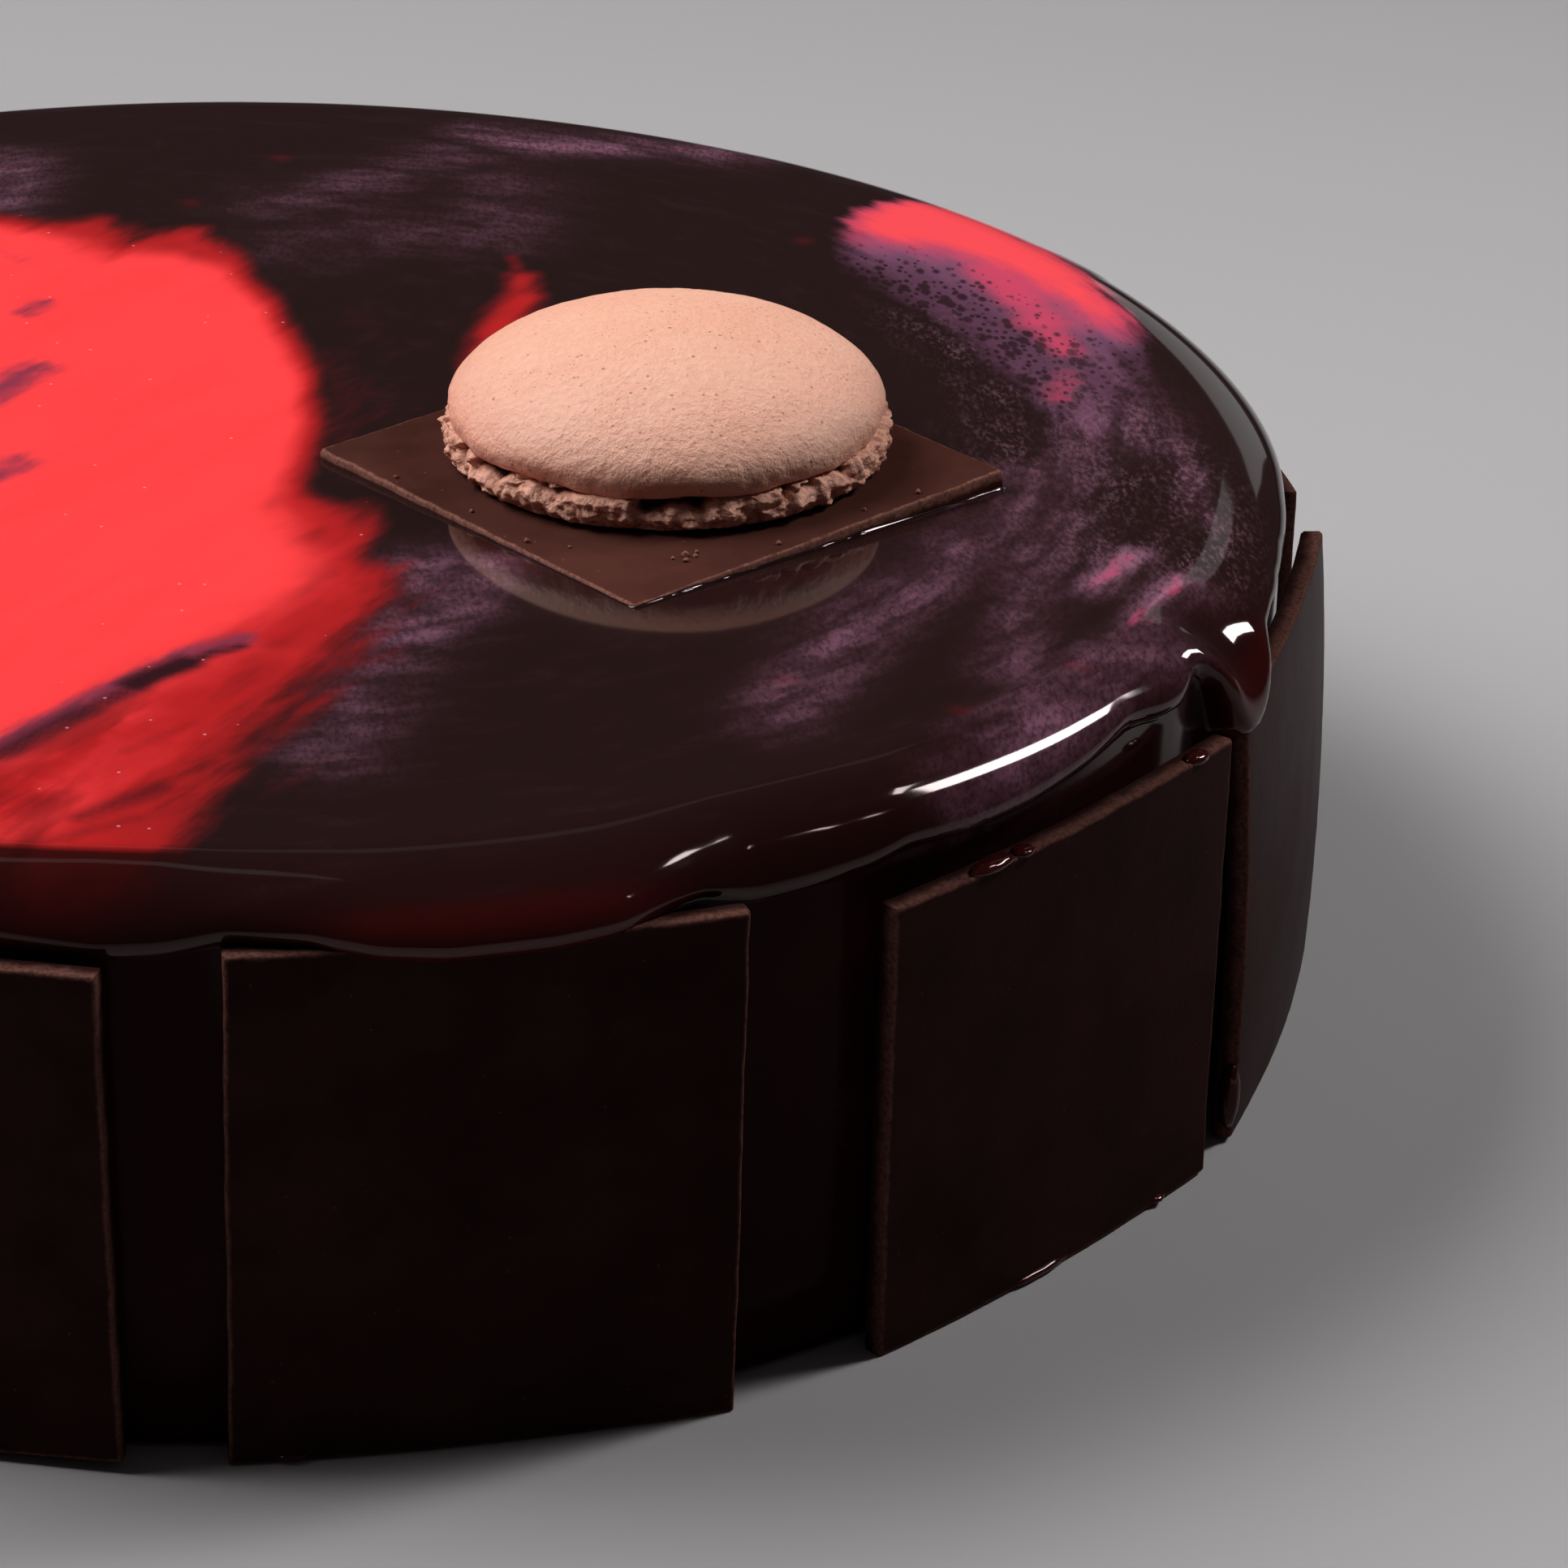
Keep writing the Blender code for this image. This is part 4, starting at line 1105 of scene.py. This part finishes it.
def crescent_layer(graph, colour, place, arcs, soft):
    """Coral and mauve crescent near the rim, breaking up into pores at its inner edge."""
    coral = graph.stirred("coral", arcs, 7.0)
    distance = graph.stirred("crescent", arcs, 6.0)
    inner = graph.smooth(coral, -10.0, 0.5)
    clear = crescent_pores(graph, place, inner)
    strength = graph.scaled(inner, 0.55, 0.42)
    amount = graph.times(graph.times(graph.smooth(distance, -1.2, 4.2), clear), strength)
    colour = graph.mix(amount, colour, CRESCENT_MAUVE)
    tongue = graph.times(graph.smooth(graph.stirred("tongue", soft, 0.8), 0.15, 0.85), clear)
    colour = graph.mix(graph.times(tongue, 0.85), colour, CRESCENT_PINK)
    rim = graph.times(graph.smooth(coral, -4.5, 4.0), graph.smooth(distance, -0.8, 1.8))
    return graph.mix(rim, colour, graph.mix(graph.smooth(coral, -1.0, 4.0), CRESCENT_PINK, CORAL))


def crescent_pores(graph, place, inner):
    """How clear of pores the crescent is: they are wider where inner is low."""
    drawn = graph.mapping(place, 12.0, (1.0, 0.55, 1.0))
    pores = graph.math("MINIMUM", graph.cells(drawn, 620.0), graph.cells(drawn, 1250.0))
    open_share = graph.scaled(graph.math("SUBTRACT", 1.0, inner), 0.26, 0.06)
    clear = graph.smooth(graph.math("SUBTRACT", pores, open_share), -0.06, 0.16)
    return graph.scaled(clear, 0.84, 0.16)


def darker(colour, share):
    return tuple(share * part for part in colour)


def chocolate_material(name, face, edge, reach, roughness):
    """Satin chocolate: smooth and dark on its face, paler and rough where it was cut."""
    graph = Graph(name)
    place = graph.object_place()
    cloud = graph.noise(place, 90.0, 4.0, 0.6)
    grain = graph.noise(place, 2600.0, 3.0, 0.6)
    worn = graph.noise(place, 700.0, 4.0, 0.65)
    colour = graph.mix(graph.smooth(cloud, 0.3, 0.7), darker(face, 0.65), face)
    border = graph.smooth(graph.stirred("edge", worn, 1.2 * reach), reach, 0.05)
    colour = graph.mix(graph.times(border, graph.smooth(grain, 0.1, 0.7)), colour, edge)
    dust = graph.smooth(graph.cells(place, 420.0), 0.055, 0.02)
    colour = graph.mix(graph.times(dust, 0.5), colour, edge)
    graph.set("Base Color", colour)
    shine = graph.scaled(cloud, 0.16, roughness - 0.08)
    graph.set("Roughness", graph.scaled(border, 0.25, shine))
    graph.set("IOR", 1.07)
    graph.set("Specular IOR Level", 0.3)
    graph.bump(graph.math("ADD", grain, graph.times(worn, 1.5)), 0.03 * MM, 0.5)
    return graph.material


def macaron_material():
    """Pale matt dome with fine specks and wrinkles, painted shade in the wrinkles' troughs, and a crumbly
    foot with painted shade in its hollows.
    """
    graph = Graph("macaron_shell_baked")
    place = graph.object_place()
    cloud = graph.noise(place, 110.0, 4.0, 0.6)
    wrinkle = graph.noise(place, 1300.0, 5.0, 0.66)
    fleck = graph.noise(place, 1500.0, 2.0, 0.5)
    crumb = graph.noise(place, 1100.0, 5.0, 0.7)
    dome = graph.mix(graph.smooth(cloud, 0.3, 0.7), SHELL_PALE, SHELL_ROSY)
    speck = graph.smooth(graph.cells(place, 900.0), 0.20, 0.09)
    speck = graph.times(speck, graph.smooth(fleck, 0.46, 0.58))
    dome = graph.mix(graph.times(speck, 0.7), dome, SHELL_SPECK)
    dust = graph.smooth(graph.cells(place, 1900.0), 0.24, 0.10)
    dust = graph.times(dust, graph.smooth(cloud, 0.38, 0.6))
    dome = graph.mix(graph.times(dust, 0.55), dome, SHELL_SPECK)
    # Painted shade in the troughs of the wrinkles.
    dome = graph.mix(graph.times(graph.smooth(wrinkle, 0.56, 0.42), 0.16), dome, SHELL_SHADE)
    foot = graph.mix(graph.smooth(crumb, 0.34, 0.58), FOOT_DARK_CRUMB_AND_SHADE, FOOT_PALE)
    # Painted shade in the foot's hollows, darkest deepest in.
    foot = graph.mix(graph.smooth(graph.value("hollow"), 0.05, 0.5), foot, FOOT_DARK_CRUMB_AND_SHADE)
    foot = graph.mix(graph.smooth(graph.value("hollow"), 0.4, 0.9), foot, HOLLOW_SHADE_BLACK)
    colour = graph.mix(graph.value("foot"), dome, foot)
    graph.set("Base Color", colour)
    graph.set("Roughness", graph.scaled(cloud, 0.2, 0.32))
    graph.set("Specular IOR Level", 0.4)
    height = graph.math("ADD", wrinkle, graph.times(crumb, graph.value("foot")))
    graph.bump(height, 0.34 * MM, 0.9)
    return graph.material


def cake_material():
    """Cut sponge and mousse, which only the underside shows."""
    graph = Graph("cake_crumb")
    place = graph.object_place()
    pores = graph.cells(place, 500.0)
    cloud = graph.noise(place, 300.0, 4.0, 0.7)
    # Darker in the pores: painted shade in them.
    colour = graph.mix(graph.smooth(pores, 0.1, 0.5), darker(CRUMB, 0.4), CRUMB)
    graph.set("Base Color", graph.mix(cloud, colour, CRUMB))
    graph.set("Roughness", 0.85)
    graph.bump(graph.math("ADD", pores, cloud), 0.3 * MM, 0.7)
    return graph.material


def floor_material():
    graph = Graph("floor_paper")
    cloud = graph.noise(graph.object_place(), 3.0, 3.0, 0.5)
    graph.set("Base Color", graph.mix(cloud, darker(FLOOR, 0.96), FLOOR))
    graph.set("Roughness", 0.9)
    graph.set("Specular IOR Level", 0.1)
    return graph.material


# Studio

def add_floor():
    mesh = bpy.data.meshes.new("floor")
    half = FLOOR_HALF
    corners = [(-half, -half, 0.0), (half, -half, 0.0), (half, half, 0.0), (-half, half, 0.0)]
    mesh.from_pydata(corners, [], [(0, 1, 2, 3)])
    mesh.materials.append(floor_material())
    floor = bpy.data.objects.new("floor", mesh)
    bpy.context.scene.collection.objects.link(floor)


def add_light(name, azimuth, elevation, distance, size, radiance, spread, turn=0.0):
    """Rectangular soft light in a direction from the cake, with a given radiance and spread."""
    light = bpy.data.lights.new(name, "AREA")
    light.shape = "RECTANGLE"
    light.size, light.size_y = size
    half = math.radians(spread / 2.0)
    narrowed = (math.tan(half) - half) / math.tan(half)  # a narrow light would be brighter ahead
    light.energy = radiance * size[0] * size[1] * math.pi * narrowed
    item = bpy.data.objects.new(name, light)
    angle, rise = math.radians(azimuth), math.radians(elevation)
    ray = Vector((math.sin(angle) * math.cos(rise), -math.cos(angle) * math.cos(rise), math.sin(rise)))
    light.spread = math.radians(spread)
    item.location = Vector(LIGHT_TARGET) + ray * distance
    facing = ray.to_track_quat("Z", "Y").to_matrix()
    item.rotation_euler = (facing @ Matrix.Rotation(math.radians(turn), 3, "Z")).to_euler()
    bpy.context.scene.collection.objects.link(item)


def add_lights():
    add_light("key", 105.0, 41.5, 0.9, (0.30, 0.125), 42.0, 80.0, -57.0)
    add_light("glint", 104.0, 54.0, 0.9, (0.09, 0.04), 26.0, 60.0)
    add_light("spot", 73.0, 49.0, 0.9, (0.014, 0.04), 26.0, 60.0)
    add_light("left_glint", -163.0, 67.0, 1.2, (0.22, 0.09), 0.45, 100.0)
    add_light("window", -112.0, 48.0, 1.2, (0.9, 0.8), 11.0, 90.0)
    add_light("back", 178.0, 44.0, 1.5, (0.8, 0.08), 0.16, 120.0)
    add_light("rim", 156.0, 9.0, 1.2, (0.30, 0.27), 0.42, 120.0)
    add_light("rim_end", 157.0, 25.0, 1.2, (0.12, 0.16), 0.36, 120.0)
    world = bpy.data.worlds.new("studio")
    world.use_nodes = True
    world.node_tree.nodes["Background"].inputs["Color"].default_value = (*WORLD, 1.0)
    bpy.context.scene.world = world


def add_camera():
    camera = bpy.data.cameras.new("camera")
    camera.lens = LENS_MM
    camera.sensor_width = SENSOR_MM
    camera.clip_start = 0.01
    item = bpy.data.objects.new("camera", camera)
    item.location = CAMERA_PLACE
    pitch = Euler((math.radians(90.0 - CAMERA_PITCH), 0.0, -math.radians(CAMERA_YAW))).to_matrix()
    roll = Matrix.Rotation(math.radians(CAMERA_ROLL), 3, "Z")
    item.rotation_euler = (pitch @ roll).to_euler()
    bpy.context.scene.collection.objects.link(item)
    bpy.context.scene.camera = item


def main():
    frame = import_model()
    nodes = frame["nodes"]
    plaques = [nodes[name] for name in sorted(nodes) if name.startswith("side_plaque")]
    bpy.context.scene.view_settings.view_transform = "Standard"

    glaze = glaze_material()
    chocolate = chocolate_material("plaque_chocolate", CHOCOLATE_FACE, CHOCOLATE_EDGE, 0.45, 0.36)
    tile_chocolate = chocolate_material("tile_chocolate", TILE_FACE, TILE_EDGE, 0.34, 0.42)
    matrix, sides = tile_frame(nodes["top_tile"])
    build_glaze(plaques, glaze)
    fits = [plaque_place(node) for node in plaques]
    for number, (node, (size, place)) in enumerate(zip(plaques, fits), start=1):
        build_plaque(number, node, size, place, chocolate)
    build_drops([place for size, place in fits], glaze)
    build_tile(nodes["top_tile"], matrix, sides, tile_chocolate)
    build_crumbs(matrix, tile_chocolate)
    build_meniscus(matrix, sides, glaze)
    build_shell(nodes["macaron_shell"], matrix, macaron_material())
    nodes["cake_body"].data.materials.clear()
    nodes["cake_body"].data.materials.append(cake_material())

    add_floor()
    add_lights()
    add_camera()
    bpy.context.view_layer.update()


main()
